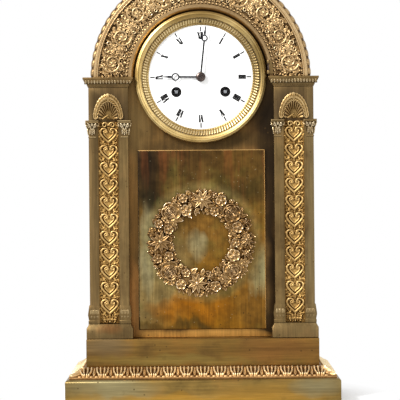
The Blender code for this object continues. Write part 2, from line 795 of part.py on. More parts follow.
def make_wreath(base):
    inner = WREATH_RADIUS - WREATH_BREADTH / 2
    outer = WREATH_RADIUS + WREATH_BREADTH / 2
    profile = [(outer, base), (inner, base), (inner, base + WREATH_HEIGHT * 0.4)]
    profile += [
        (WREATH_RADIUS + WREATH_BREADTH / 2 * x, base + WREATH_HEIGHT * z)
        for x, z in ((-0.4, 1.0), (0.4, 1.0), (1.0, 0.4))
    ]
    ring = turned(profile[::-1], 20, closed=True)
    shapes = []
    for k in range(4):
        angle = math.radians(46 + 90 * k)
        at = (0.0420 * math.cos(angle), 0.0420 * math.sin(angle))
        shapes.append(dome(ROSE_RADIUS, ROSE_HEIGHT, base, at, 8))
        for step, reach in ((28, 0.0335), (58, 0.0425)):
            turn = angle + math.radians(step)
            at = (reach * math.cos(turn), reach * math.sin(turn))
            shapes.append(flower(FLOWER_RADIUS, FLOWER_HEIGHT, base, at, 5, turn))
    wreath = add("wreath", ring, CAST_GILT, DIAL)
    join(wreath, *shapes)
    wreath.location.y = -WREATH_DROP
    for modifier in wreath.modifiers:
        modifier.object.location.y = -WREATH_DROP


# Arch


def archivolt_profile():
    """(radius, depth) round the arch's section: cove, pearls, sunk frieze, band and falling leaf edge."""
    back = WALL_FACE + SEAT_GAP
    face = back + ARCH_PROUD
    ground = face - FRIEZE_SUNK
    pearl = [(ARCH_PEARLS + x, ground + 0.0006 + y) for x, y in arc(PEARL_RADIUS, 150, 30, 2)]
    return (
        [(ARCH_COVE_BACK, back), (ARCH_COVE_BACK + 0.0008, back + 0.0052),
         (ARCH_COVE_FRONT, face - 0.0008)]
        + pearl
        + [
            (ARCH_FRIEZE_OUTER - 0.0006, ground),
            (ARCH_FRIEZE_OUTER, face),
            (ARCH_BAND_OUTER, face),
            (ARCH_OUTER, face - LEAF_EDGE_FALL),
            (ARCH_OUTER, back),
        ]
    )


def make_arch():
    """From level with the dial's centre on the right, over the top, to level with it on the left."""
    add("archivolt", turned(archivolt_profile(), 26, closed=True, angle=math.pi), CAST_GILT, DIAL)


# Case sides and back


def make_case():
    foot = BLOCK_Z - CENTRE_Z
    inside = CASE_RADIUS - CASE_SHEET
    outline = [(CASE_RADIUS, foot)] + arc(CASE_RADIUS, 0, 180, 24) + [(-CASE_RADIUS, foot),
    (-inside, foot)]
    outline += arc(inside, 180, 0, 24) + [(inside, foot)]
    length = CASE_FRONT - CASE_BACK - 2 * SEAT_GAP
    shell = flat([outline], length, (CASE_FRONT + CASE_BACK) / 2)
    add("case_shell", shell, PLAIN_BRONZE, DIAL)

    back_face = CASE_BACK - CASE_SHEET
    panel = flat(
        [arched_outline(CASE_RADIUS), circle(BACK_HOLE_RADIUS, ROUND)],
        CASE_SHEET, CASE_BACK - CASE_SHEET / 2,
    )
    axis_depth = back_face - DOOR_AXIS_BEHIND
    door_axis = (DOOR_AXIS_X, 0, axis_depth)
    # Hinge: the panel carries the end knuckles, the door the middle one, on one upright pin.
    half = 0.0090
    part = 0.0055
    back_panel = add("back_panel", panel, PLAIN_BRONZE, DIAL)
    for low, high in ((-half, -part), (part, half)):
        knuckle = upright_rod(DOOR_BARREL, low, high, door_axis)
        ends = (axis_depth - 0.0008, back_face + 0.0008)
        web = box(DOOR_AXIS_X - 0.0004, DOOR_AXIS_X + 0.0040, low, high, *ends)
        join(back_panel, knuckle, web)
    cut(back_panel, upright_rod(HINGE_PIN + RUNNING_GAP, -half - 0.001, half + 0.001, door_axis, 6))

    door = rod(DOOR_RADIUS, CASE_BACK - DOOR_THICKNESS, CASE_BACK, ROUND)
    bmesh.ops.translate(door, verts=door.verts, vec=(-DOOR_AXIS_X, 0, -axis_depth))
    piece = add("rear_door", door, PLAIN_BRONZE, DIAL, door_axis)
    reach = part - RUNNING_GAP
    knuckle = upright_rod(DOOR_BARREL, -reach, reach, (0, 0, 0))
    web = box(-0.0045, 0, -reach, reach, -0.0009, 0.0009)
    lug = box(-0.0045, -0.0022, -reach, reach, -0.0009, DOOR_AXIS_BEHIND + 0.0008)
    knob_at = (-DOOR_AXIS_X - DOOR_RADIUS + 0.0080, 0)
    knob = rod(0.0022, -0.0028, DOOR_AXIS_BEHIND + 0.0006, 12, knob_at, top=0.0032)
    join(piece, knuckle, web, lug, knob)
    cut(piece, upright_rod(HINGE_PIN + RUNNING_GAP, -reach - 0.001, reach + 0.001, (0, 0, 0), 6))
    pin = upright_rod(HINGE_PIN, -half - 0.0006, half + 0.0006, (0, 0, 0), 6)
    add("rear_hinge_pin", pin, STEEL, DIAL, door_axis)

    for side, sign in (("right", 1), ("left", -1)):
        make_strap(side, sign)


def upright_rod(radius, low, high, centre, sides=8):
    """A rod along the clock's height, given in the dial's space."""
    bm = rod(radius, low, high, sides)
    turn = Matrix.Rotation(-QUARTER, 4, "X")
    bmesh.ops.transform(bm, matrix=Matrix.Translation(centre) @ turn, verts=bm.verts)
    return bm


def make_strap(side, sign):
    """A bent strap from the sight ring's collar to the back panel, beside the movement."""
    front = sight_collar_back() - SEAT_GAP
    back = CASE_BACK + SEAT_GAP
    x0 = STRAP_INNER
    x1 = STRAP_INNER + STRAP_THICKNESS
    turned_back = -back - STRAP_THICKNESS
    outline = [(x0, -front), (x1, -front), (x1, turned_back), (x1 + STRAP_FOOT, turned_back)]
    outline += [(x1 + STRAP_FOOT, -back), (x0, -back)]
    bm = flat([outline], STRAP_WIDTH, CENTRE_Z)
    if sign < 0:
        mirrored(bm)
    add(f"{side}_strap", bm, BRASS)


# Dial side


def sight_collar_back():
    return DIAL_EDGE_FACE - DIAL_THICKNESS - 0.0002


def make_dial_side():
    seat = WALL_FACE + SEAT_GAP
    lip_under = DIAL_EDGE_FACE + 0.0004
    face = seat + SIGHT_RING_PROUD
    pocket = DIAL_RADIUS + PIVOT_GAP
    collar = WALL_HOLE_RADIUS - RUNNING_GAP
    profile = [
        (SIGHT_RADIUS, lip_under), (SIGHT_RADIUS, lip_under + 0.0009),
        (SIGHT_RING_CREST, face), (SIGHT_RING_OUTER, seat + SIGHT_RING_EDGE), (SIGHT_RING_OUTER, seat),
        (collar, seat), (collar, sight_collar_back()), (pocket, sight_collar_back()), (pocket, lip_under),
    ]
    ring = add("sight_ring", turned(profile, ROUND, closed=True), BRIGHT_GILT, DIAL)
    cut(ring, rod(ARBOR_RADIUS + RUNNING_GAP, seat - 0.01, face + 0.01, 8, REGULATOR_AT))

    crown = DIAL_EDGE_FACE + DIAL_CROWN
    radii = (DIAL_RADIUS, DIAL_RADIUS * 0.55)
    front = [(r, crown - DIAL_CROWN * (r / DIAL_RADIUS) ** 2) for r in radii] + [(0, crown)]
    rear = [(r, z - DIAL_THICKNESS) for r, z in reversed(front)]
    dial = add("dial", turned(front[::-1] + rear[::-1], ROUND, closed=False), ENAMEL, DIAL)
    through = (crown - 0.02, crown + 0.01)
    cut(dial, rod(DIAL_CENTRE_HOLE, *through, 8))
    for place in (GOING_BARREL_AT, STRIKE_BARREL_AT):
        cut(dial, rod(WINDING_HOLE, *through, 10, place))
    for angle in (30, 150, 270):
        spot = (0.0400 * math.cos(math.radians(angle)), 0.0400 * math.sin(math.radians(angle)))
        foot_low = FRONT_PLATE_BACK + PLATE_THICKNESS + SEAT_GAP
        join(dial, rod(0.0012, foot_low, DIAL_EDGE_FACE - 0.0002, 6, spot))

    make_bezel(seat)


def in_axis_space(bm, axis):
    bmesh.ops.translate(bm, verts=bm.verts, vec=(-axis[0], -axis[1], -axis[2]))
    return bm


def make_bezel(seat):
    axis = (BEZEL_AXIS_X, 0, BEZEL_AXIS_FACE)
    face = seat + BEZEL_PROUD
    glass_back = seat + GLASS_SEAT - GLASS_THICKNESS
    glass_edge = glass_back + GLASS_THICKNESS
    shelf = glass_edge + SEAT_GAP
    pocket = GLASS_RADIUS + PIVOT_GAP
    profile = [
        (BEZEL_INNER, shelf), (BEZEL_INNER, shelf + 0.0009), (BEZEL_INNER + 0.0022, face),
        (BEZEL_OUTER - 0.0008, face - 0.0012), (BEZEL_OUTER, face - 0.0036),
        (BEZEL_OUTER, seat), (pocket, seat), (pocket, shelf),
    ]
    bezel = add("bezel", in_axis_space(turned(profile, ROUND, closed=True), axis), BRIGHT_GILT, DIAL, axis)
    low = HINGE_BOTTOM + HINGE_LEAF + RUNNING_GAP
    high = low + HINGE_MIDDLE
    knuckle = upright_rod(HINGE_BARREL, low, high, (0, 0, 0))
    web = box(-0.0030, 0, low, high, -0.0032, -0.0002)
    join(bezel, knuckle, web)
    cut(bezel, upright_rod(HINGE_PIN + RUNNING_GAP, low - 0.001, high + 0.001, (0, 0, 0), 6))

    reach = BEZEL_INNER - SEAT_GAP
    rise = GLASS_CROWN
    front = [(GLASS_RADIUS, glass_edge), (reach, glass_edge)]
    front += [(reach * share, glass_edge + rise * (1 - share**2)) for share in (0.6,)]
    front.append((0, glass_edge + rise))
    rear = [(r, z - GLASS_THICKNESS) for r, z in reversed(front)]
    glass = turned(front[::-1] + rear[::-1], ROUND, closed=False)
    add("bezel_glass", in_axis_space(glass, axis), CLEAR, DIAL, axis)

    make_bezel_bracket(axis, low, high)


def make_bezel_bracket(axis, low, high):
    """The fixed half of the bezel's hinge, a small block fitted into the arch's cove."""
    bottom = HINGE_BOTTOM
    top = high + RUNNING_GAP + HINGE_LEAF
    back = BEZEL_AXIS_FACE - 0.0030
    front = BEZEL_AXIS_FACE + HINGE_BARREL * 0.6
    spine = box(BEZEL_AXIS_X + HINGE_BARREL + RUNNING_GAP, BEZEL_AXIS_X + 0.006, bottom, top, back, front)
    bracket = add("bezel_hinge_bracket", spine, BRIGHT_GILT, DIAL)
    for z0, z1 in ((bottom, bottom + HINGE_LEAF), (top - HINGE_LEAF, top)):
        ear = box(BEZEL_AXIS_X, BEZEL_AXIS_X + 0.005, z0, z1, back + 0.0004, front - 0.0004)
        join(bracket, ear, upright_rod(HINGE_BARREL, z0, z1, axis))
    face = WALL_FACE + SEAT_GAP + ARCH_PROUD
    slope = (ARCH_COVE_FRONT - ARCH_COVE_BACK - 0.0008) / (ARCH_PROUD - 0.0060)
    start = back - 0.002
    end = front + 0.002
    inner = ARCH_COVE_FRONT - SEAT_GAP - 0.0001 - (face - 0.0008 - start) * slope
    outer = inner + (end - start) * slope
    room = rod(inner, start, end, 96, top=outer)
    helper = add("bracket_room", room, BRIGHT_GILT, DIAL, helper=True)
    boolean(bracket, "INTERSECT", helper)
    cut(bracket, upright_rod(HINGE_PIN + RUNNING_GAP, bottom - 0.001, top + 0.001, axis, 6))
    pin = upright_rod(HINGE_PIN, bottom - 0.0005, top + 0.0005, (0, 0, 0), 6)
    add("bezel_hinge_pin", pin, STEEL, DIAL, axis)


def hand_outlines(length, moon_at, moon_radius, hub_radius, hole_radius, tail=0.0):
    """A pomme hand pointing up: hub, stem, open moon and point, with its two holes."""
    stem = HAND_STEM / 2
    hub_turn = math.degrees(math.asin(stem / hub_radius))
    moon_turn = math.degrees(math.asin(stem / moon_radius))
    right = arc(hub_radius, -90, 90 - hub_turn, 5)
    right += arc(moon_radius, -90 + moon_turn, 90 - moon_turn, 5, (0, moon_at))
    outline = right + [(0, length)] + [(-x, y) for x, y in reversed(right[1:])]
    moon_hole = circle(moon_radius - HAND_STEM * 0.8, 8, (0, moon_at + moon_radius * 0.1))
    return [outline, moon_hole, circle(hole_radius, 8)]


def make_hands():
    hour_pipe, hour_bore = hour_pipe_radii()
    collar = hour_pipe + 0.0014
    hour = hand_outlines(HOUR_HAND_LENGTH, HOUR_MOON_AT, HOUR_MOON_RADIUS, collar, hour_pipe + RUNNING_GAP)
    bm = flat(hour, HAND_THICKNESS)
    bmesh.ops.rotate(bm, verts=bm.verts, matrix=Matrix.Rotation(math.radians(-HOUR_ANGLE), 3, "Z"))
    add("hour_hand", bm, BLUED, DIAL, (0, 0, HOUR_HAND_FACE + HAND_THICKNESS / 2))

    bore = cannon_radius() + RUNNING_GAP
    minute = hand_outlines(MINUTE_HAND_LENGTH, MINUTE_MOON_AT, MINUTE_MOON_RADIUS, BOSS_RADIUS * 0.8, bore)
    bm = flat(minute, HAND_THICKNESS)
    bmesh.ops.rotate(bm, verts=bm.verts, matrix=Matrix.Rotation(math.radians(-MINUTE_ANGLE), 3, "Z"))
    hand = add("minute_hand", bm, BLUED, DIAL, (0, 0, MINUTE_HAND_FACE + HAND_THICKNESS / 2))
    boss = turned(
        [(bore, 0.0), (bore, 0.0017), (BOSS_RADIUS * 0.75, 0.0013), (BOSS_RADIUS, 0.0004),
         (BOSS_RADIUS, -0.0001),
         (bore, -0.0001)][::-1],
        10, closed=True,
    )
    join(hand, boss)


def cannon_radius():
    return ARBOR_RADIUS + 0.0004


def hour_pipe_radii():
    bore = cannon_radius() + RUNNING_GAP
    return bore + 0.0006, bore


# Movement


def distance(first, second):
    return math.dist(first, second)


def toward(first, second):
    return math.atan2(second[1] - first[1], second[0] - first[0])


def pitch_radius(teeth, others, apart):
    """The radius at which a wheel meets its neighbour, for arbors this far apart."""
    return apart * teeth / (teeth + others)


def gear_outline(teeth, radius, tooth_at, tooth=WHEEL_TOOTH):
    """Teeth round a wheel, one of them centred on the angle tooth_at."""
    module = 2 * radius / teeth
    points = []
    for k in range(teeth):
        centre = tooth_at + 2 * math.pi * k / teeth
        for out, along in tooth:
            angle = centre + along * module / radius
            reach = radius + out * module
            points.append((reach * math.cos(angle), reach * math.sin(angle)))
    return points


def leaf_outline(leaves, radius, leaf_at):
    return gear_outline(leaves, radius, leaf_at, PINION_LEAF)


def crossings(hub, rim, spokes, start=0.0):
    """The openings between a wheel's spokes, which widen a little towards the hub."""
    openings = []
    for k in range(spokes):
        middle = start + 2 * math.pi * (k + 0.5) / spokes
        half = math.pi / spokes
        outline = []
        for reach, steps, width in ((rim, 2, SPOKE_WIDTH), (hub, 1, SPOKE_WIDTH * 1.2)):
            spread = half - math.asin(width / 2 / reach)
            sign = 1 if reach == rim else -1
            for j in range(steps + 1):
                angle = middle + sign * spread * (2 * j / steps - 1)
                outline.append((reach * math.cos(angle), reach * math.sin(angle)))
        openings.append(outline)
    return openings


def arbor(front, rear, body=ARBOR_RADIUS, pivot=PIVOT_RADIUS, front_end=None, rear_end=None):
    """A turned arbor between the plates, with a pivot at each end."""
    front_tip = front_end if front_end is not None else front + PLATE_THICKNESS - 0.0003
    rear_tip = rear_end if rear_end is not None else rear - PLATE_THICKNESS + 0.0003
    profile = [
        (0, front_tip), (pivot, front_tip), (pivot, front - SEAT_GAP), (body, front - SEAT_GAP),
        (body, rear + SEAT_GAP), (pivot, rear + SEAT_GAP), (pivot, rear_tip), (0, rear_tip),
    ]
    return turned(profile, 6, closed=False)


def wheel(name, teeth, radius, tooth_at, layer, at, spokes=0):
    module = 2 * radius / teeth
    outlines = [gear_outline(teeth, radius, tooth_at)]
    outlines += crossings(WHEEL_HUB, radius - 3.0 * module, spokes)
    return add(name, flat(outlines, WHEEL_THICKNESS, layer), BRASS, DIAL, (*at, 0))


def pinion(leaves, radius, leaf_at, layer, length=PINION_LENGTH):
    return flat([leaf_outline(leaves, radius, leaf_at)], length, layer)


def gap_at(leaves, angle):
    """The angle for a leaf that leaves a gap facing this way."""
    return angle + math.pi / leaves


def mesh_pair(driver_at, driven_at, teeth, leaves):
    """Radius and tooth angle of a wheel and of the pinion that it meets."""
    apart = distance(driver_at, driven_at)
    wheel_radius = pitch_radius(teeth, leaves, apart)
    pinion_radius = apart - wheel_radius
    wheel_tooth = toward(driver_at, driven_at)
    leaf = gap_at(leaves, toward(driven_at, driver_at))
    return wheel_radius, wheel_tooth, pinion_radius, leaf


def make_plates():
    front_middle = FRONT_PLATE_BACK + PLATE_THICKNESS / 2
    back_middle = BACK_PLATE_FRONT - PLATE_THICKNESS / 2
    small = PIVOT_RADIUS + RUNNING_GAP
    winding = WINDING_RADIUS + RUNNING_GAP
    common = [GOING_SECOND_AT, THIRD_AT, ESCAPE_AT, PIN_WHEEL_AT, WARNING_AT, FLY_AT]
    barrels = [GOING_BARREL_AT, STRIKE_BARREL_AT]
    front_holes = [circle(small, 6, at) for at in common + [STRIKE_SECOND_AT, ANCHOR_AT, HAMMER_AT]]
    front_holes += [circle(winding, 8, at) for at in barrels]
    front_holes.append(circle(cannon_radius() + PIVOT_GAP, 10))
    plate = flat([circle(PLATE_RADIUS, ROUND)] + front_holes, PLATE_THICKNESS, front_middle)
    front = add("front_plate", plate, BRASS, DIAL)
    stud_low = FRONT_PLATE_BACK + PLATE_THICKNESS - 0.0006
    join(front, rod(0.0006, stud_low, HOUR_LAYER + 0.0014, 6, MINUTE_WHEEL_AT))

    back_holes = [circle(small, 6, at) for at in common + [CENTRE_AT] + barrels]
    back_holes += [circle(ARBOR_RADIUS + PIVOT_GAP, 6, at) for at in (STRIKE_SECOND_AT, HAMMER_AT)]
    back_holes.append(circle(ARBOR_RADIUS + PIVOT_GAP, 6, ANCHOR_AT))
    plate = flat([circle(PLATE_RADIUS, ROUND)] + back_holes, PLATE_THICKNESS, back_middle)
    back = add("back_plate", plate, BRASS, DIAL)
    for place in PILLARS:
        join(back, rod(PILLAR_RADIUS, BACK_PLATE_FRONT - 0.0008, FRONT_PLATE_BACK - SEAT_GAP, 6, place))


def make_barrel(name, at, second_at):
    """A barrel with its great wheel at the front; the arbor turns in its bore."""
    radius, tooth, _, _ = mesh_pair(at, second_at, BARREL_TEETH, LEAVES)
    front = BARREL_LAYER + WHEEL_THICKNESS / 2
    rear = SECOND_LAYER + 0.0024
    bore = WINDING_RADIUS + RUNNING_GAP
    drum = turned(
        [(bore, front - 0.0003), (BARREL_RADIUS, front - 0.0003), (BARREL_RADIUS, rear), (bore, rear)],
        14, closed=True,
    )
    barrel = add(name, drum, BRASS, DIAL, (*at, 0))
    outlines = [gear_outline(BARREL_TEETH, radius, tooth), circle(BARREL_RADIUS * 0.8, 14)]
    teeth = flat(outlines, WHEEL_THICKNESS, BARREL_LAYER)
    join(barrel, teeth)


def make_winding_arbor(name, at):
    front_end = FRONT_PLATE_BACK + PLATE_THICKNESS + 0.0008
    body = turned(
        [
            (0, front_end), (WINDING_RADIUS, front_end), (WINDING_RADIUS, BACK_PLATE_FRONT + SEAT_GAP),
            (PIVOT_RADIUS, BACK_PLATE_FRONT + SEAT_GAP),
            (PIVOT_RADIUS, BACK_PLATE_FRONT - PLATE_THICKNESS), (0, BACK_PLATE_FRONT - PLATE_THICKNESS),
        ],
        10, closed=False,
    )
    square = WINDING_SQUARE / 2
    head = box(-square, square, -square, square, front_end - 0.0004, DIAL_EDGE_FACE + 0.0006)
    add_and_join(name, body, STEEL, head, parent=DIAL, at=(*at, 0))


def make_going_train():
    great = mesh_pair(GOING_BARREL_AT, GOING_SECOND_AT, BARREL_TEETH, LEAVES)
    second = mesh_pair(GOING_SECOND_AT, CENTRE_AT, SECOND_TEETH, CENTRE_LEAVES)
    centre = mesh_pair(CENTRE_AT, THIRD_AT, CENTRE_TEETH, LEAVES)
    third = mesh_pair(THIRD_AT, ESCAPE_AT, THIRD_TEETH, LEAVES)
    front, rear = FRONT_PLATE_BACK, BACK_PLATE_FRONT

    make_barrel("going_barrel", GOING_BARREL_AT, GOING_SECOND_AT)
    make_winding_arbor("going_winding_arbor", GOING_BARREL_AT)

    piece = wheel("going_second_wheel", SECOND_TEETH, second[0], second[1], SECOND_LAYER, GOING_SECOND_AT)
    join(piece, arbor(front, rear), pinion(LEAVES, great[2], great[3], BARREL_LAYER))

    piece = wheel("centre_wheel", CENTRE_TEETH, centre[0], centre[1], CENTRE_LAYER, CENTRE_AT, SPOKES)
    cannon_end = MINUTE_HAND_FACE + 0.0012
    pipe = turned(
        [
            (0, cannon_end), (cannon_radius(), cannon_end), (cannon_radius(), front - SEAT_GAP),
            (ARBOR_RADIUS, front - 0.0015),
            (ARBOR_RADIUS, rear + SEAT_GAP), (PIVOT_RADIUS, rear + SEAT_GAP),
            (PIVOT_RADIUS, rear - PLATE_THICKNESS), (0, rear - PLATE_THICKNESS),
        ],
        10, closed=False,
    )
    cannon = mesh_pair(MINUTE_WHEEL_AT, CENTRE_AT, MINUTE_TEETH, CANNON_LEAVES)
    join(
        piece, pipe, pinion(CENTRE_LEAVES, second[2], second[3], SECOND_LAYER),
        pinion(CANNON_LEAVES, cannon[2], cannon[3], CANNON_LAYER, WHEEL_THICKNESS),
    )

    piece = wheel("third_wheel", THIRD_TEETH, third[0], third[1], THIRD_LAYER, THIRD_AT, SPOKES)
    join(piece, arbor(front, rear), pinion(LEAVES, centre[2], centre[3], CENTRE_LAYER))

    make_escape_wheel(third)
    make_motion_work(cannon)


def make_escape_wheel(third):
    outline = []
    for k in range(ESCAPE_TEETH):
        tip = 2 * math.pi * k / ESCAPE_TEETH
        outline.append((ESCAPE_RADIUS * math.cos(tip), ESCAPE_RADIUS * math.sin(tip)))
        root = tip + 2 * math.pi * 0.45 / ESCAPE_TEETH
        outline.append((ESCAPE_RADIUS * 0.84 * math.cos(root), ESCAPE_RADIUS * 0.84 * math.sin(root)))
    outlines = [outline] + crossings(0.0026, ESCAPE_RADIUS * 0.70, SPOKES)
    piece = add("escape_wheel", flat(outlines, WHEEL_THICKNESS, ESCAPE_LAYER), BRASS, DIAL, (*ESCAPE_AT, 0))
    join(piece, arbor(FRONT_PLATE_BACK, BACK_PLATE_FRONT), pinion(LEAVES, third[2], third[3], THIRD_LAYER))


def make_motion_work(cannon):
    hour = mesh_pair(CENTRE_AT, MINUTE_WHEEL_AT, HOUR_TEETH, LEAVES)
    stud = 0.0006 + RUNNING_GAP
    outlines = [gear_outline(MINUTE_TEETH, cannon[0], cannon[1]), circle(stud, 6)]
    teeth = flat(outlines, WHEEL_THICKNESS, CANNON_LAYER)
    piece = add("minute_wheel", teeth, BRASS, DIAL, (*MINUTE_WHEEL_AT, 0))
    length = HOUR_LAYER - CANNON_LAYER
    leaves = flat(
        [leaf_outline(LEAVES, hour[2], hour[3]), circle(stud, 6)], length, CANNON_LAYER + length / 2 + 0.0003,
    )
    join(piece, leaves)
    pipe, bore = hour_pipe_radii()
    outlines = [gear_outline(HOUR_TEETH, hour[0], hour[1]), circle(bore, 12)]
    piece = add("hour_wheel", flat(outlines, WHEEL_THICKNESS, HOUR_LAYER), BRASS, DIAL)
    end = HOUR_HAND_FACE + HAND_THICKNESS + 0.0004
    inner = bore + 0.00002
    join(piece, turned([(inner, end), (pipe, end), (pipe, HOUR_LAYER),
    (inner, HOUR_LAYER)], 12, closed=True))


def make_strike_train():
    great = mesh_pair(STRIKE_BARREL_AT, STRIKE_SECOND_AT, BARREL_TEETH, LEAVES)
    second = mesh_pair(STRIKE_SECOND_AT, PIN_WHEEL_AT, STRIKE_SECOND_TEETH, LEAVES)
    pins = mesh_pair(PIN_WHEEL_AT, WARNING_AT, PIN_WHEEL_TEETH, LEAVES)
    warning = mesh_pair(WARNING_AT, FLY_AT, WARNING_TEETH, LEAVES)
    front, rear = FRONT_PLATE_BACK, BACK_PLATE_FRONT

    make_barrel("strike_barrel", STRIKE_BARREL_AT, STRIKE_SECOND_AT)
    make_winding_arbor("strike_winding_arbor", STRIKE_BARREL_AT)

    sizes = (STRIKE_SECOND_TEETH, second[0], second[1])
    piece = wheel("strike_second_wheel", *sizes, STRIKE_SECOND_LAYER, STRIKE_SECOND_AT)
    tail = COUNT_LAYER - WHEEL_THICKNESS / 2 - 0.0006
    long_arbor = turned(
        [
            (0, front + PLATE_THICKNESS - 0.0003), (PIVOT_RADIUS, front + PLATE_THICKNESS - 0.0003),
            (PIVOT_RADIUS, front - SEAT_GAP),
            (ARBOR_RADIUS, front - SEAT_GAP), (ARBOR_RADIUS, tail), (0, tail),
        ],
        8, closed=False,
    )
    join(piece, long_arbor, pinion(LEAVES, great[2], great[3], BARREL_LAYER))
    count = flat([count_outline(), circle(ARBOR_RADIUS + RUNNING_GAP, 8)], WHEEL_THICKNESS, COUNT_LAYER)
    add("count_wheel", count, BRASS, DIAL, (*STRIKE_SECOND_AT, 0))

    piece = wheel("pin_wheel", PIN_WHEEL_TEETH, pins[0], pins[1], PIN_LAYER, PIN_WHEEL_AT)
    circle_of_pins = [
        rod(0.0004, PIN_LAYER - 0.0030, PIN_LAYER, 6, at)
        for at in circle(pins[0] * (1 - 4.2 / PIN_WHEEL_TEETH), STRIKE_PINS, start=0.2)
    ]
    leaves = pinion(LEAVES, second[2], second[3], STRIKE_SECOND_LAYER)
    join(piece, arbor(front, rear), leaves, *circle_of_pins)

    piece = wheel("warning_wheel", WARNING_TEETH, warning[0], warning[1], THIRD_LAYER, WARNING_AT)
    join(piece, arbor(front, rear), pinion(LEAVES, pins[2], pins[3], PIN_LAYER))

    blades = box(-0.0048, 0.0048, -0.0004, 0.0004, -0.0065, 0.0060)
    leaves = pinion(LEAVES, warning[2], warning[3], THIRD_LAYER)
    add_and_join("fly", blades, BRASS, arbor(front, rear), leaves, parent=DIAL, at=(*FLY_AT, 0))


def count_outline():
    """A disc with a slot after each hour's blows, so that hour n takes n + 1 steps of the whole turn."""
    outer, inner = 0.0120, 0.0100
    total = sum(hour + 1 for hour in range(1, COUNTED_HOURS + 1))
    step = 2 * math.pi / total
    points = []
    done = 0
    for hour in range(1, COUNTED_HOURS + 1):
        slot = done * step
        done += hour + 1
        points += [(inner * math.cos(a), inner * math.sin(a)) for a in (slot, slot + step)]
        runs = max(1, hour // 4)
        for k in range(runs + 1):
            angle = slot + step + (done * step - slot - step) * k / runs
            points.append((outer * math.cos(angle), outer * math.sin(angle)))
    return points


def make_escapement():
    rear_arbor = COCK_LAYER - 0.0008
    body = turned(
        [
            (0, FRONT_PLATE_BACK + PLATE_THICKNESS - 0.0003),
            (PIVOT_RADIUS, FRONT_PLATE_BACK + PLATE_THICKNESS - 0.0003),
            (PIVOT_RADIUS, FRONT_PLATE_BACK - SEAT_GAP), (ARBOR_RADIUS, FRONT_PLATE_BACK - SEAT_GAP),
            (ARBOR_RADIUS, CRUTCH_LAYER - 0.0012),
            (PIVOT_RADIUS, CRUTCH_LAYER - 0.0012), (PIVOT_RADIUS, rear_arbor), (0, rear_arbor),
        ],
        8, closed=False,
    )
    drop = distance(ANCHOR_AT, ESCAPE_AT)
    right = [(0.17, 0.185), (0.755, -0.475), (0.80, -0.69), (0.69, -0.74), (0.57, -0.46), (0.155, -0.14)]
    outline = [(x * drop, y * drop) for x, y in right]
    outline += [(-x, y) for x, y in reversed(outline)]
    pallets = flat([outline], WHEEL_THICKNESS * 1.4, ESCAPE_LAYER)
    low = -CRUTCH_LENGTH
    arm = box(-0.0008, 0.0008, low, 0.0014, CRUTCH_LAYER - 0.0006, CRUTCH_LAYER + 0.0006)
    foot = box(-0.0024, 0.0024, low - 0.0010, low + 0.0010, CRUTCH_LAYER - 0.0008, CRUTCH_LAYER + 0.0007)
    prongs = [
        box(x0, x1, low - 0.0009, low + 0.0009, PENDULUM_LAYER - 0.0016, CRUTCH_LAYER)
        for x0, x1 in ((-0.0022, -0.0013), (0.0013, 0.0022))
    ]
    add_and_join("anchor", pallets, STEEL, body, arm, foot, *prongs, parent=DIAL, at=(*ANCHOR_AT, 0))

    back_face = BACK_PLATE_FRONT - PLATE_THICKNESS
    cock_front = COCK_LAYER + 0.0008
    above = REGULATOR_AT[1] - ANCHOR_AT[1]
    foot = COCK_SPAN / 2
    right = [(foot, -above / 3), (foot, above / 3), (above / 3, above * 0.6), (above / 4, above * 1.16)]
    outline = right + [(-x, y) for x, y in reversed(right)]
    holes = [circle(PIVOT_RADIUS + RUNNING_GAP, 8), circle(ARBOR_RADIUS + RUNNING_GAP, 8, (0, above))]
    leg = (-above / 4, above / 4, cock_front - 0.0004, back_face - SEAT_GAP)
    legs = [box(-foot * 0.98, -foot * 0.64, *leg), box(foot * 0.64, foot * 0.98, *leg)]
    cock = flat([outline] + holes, 0.0016, COCK_LAYER)
    add_and_join("suspension_cock", cock, BRASS, *legs, parent=DIAL, at=(*ANCHOR_AT, 0))

    winder = rod(ARBOR_RADIUS, PENDULUM_LAYER - 0.0020, DIAL_EDGE_FACE + 0.0022, 8)
    add("regulator_arbor", winder, STEEL, DIAL, (*REGULATOR_AT, 0))

    make_pendulum(above)


def make_pendulum(above):
    """Silk loop from the regulator to the pendulum's ring; the pendulum swings about the anchor's axis."""
    thread = 0.00025
    half = ARBOR_RADIUS + RUNNING_GAP + thread + 0.0001
    foot = [(-0.0012, 0.0016), (-0.0008, 0.0002), (0, -0.0004), (0.0008, 0.0002), (0.0012, 0.0016)]
    loop = arc(half, 0, 180, 6, (0, above)) + foot
    silk = tube([(x, y, 0) for x, y in loop], thread, cyclic=True, resolution=0)
    add("silk_suspension", silk, SILK, DIAL, (*ANCHOR_AT, PENDULUM_LAYER))

    wire = 0.00035
    ring_radius = 0.0013
    ring_top = -0.0004 + thread + RUNNING_GAP + wire
    ring_centre = ring_top - ring_radius
    ring = tube([(0, ring_centre + y, z) for z, y in circle(ring_radius, 8)], wire, cyclic=True, resolution=0)
    ring_bottom = ring_centre - ring_radius
    bob_at = -PENDULUM_LENGTH
    stem = turned_along(
        rod(ROD_RADIUS, bob_at, ring_bottom + wire * 0.5, 8), Matrix.Rotation(-QUARTER, 4, "X")
    )
    half_bob = BOB_THICKNESS / 2
    lens = turned(
        [(0, half_bob), (BOB_RADIUS * 0.55, half_bob * 0.72), (BOB_RADIUS * 0.92, half_bob * 0.22),
         (BOB_RADIUS, 0),
         (BOB_RADIUS * 0.92, -half_bob * 0.22), (BOB_RADIUS * 0.55, -half_bob * 0.72), (0, -half_bob)],
        16, closed=False,
    )
    bmesh.ops.translate(lens, verts=lens.verts, vec=(0, bob_at, 0))
    add_and_join("pendulum", lens, BRASS, stem, ring, parent=DIAL, at=(*ANCHOR_AT, PENDULUM_LAYER))


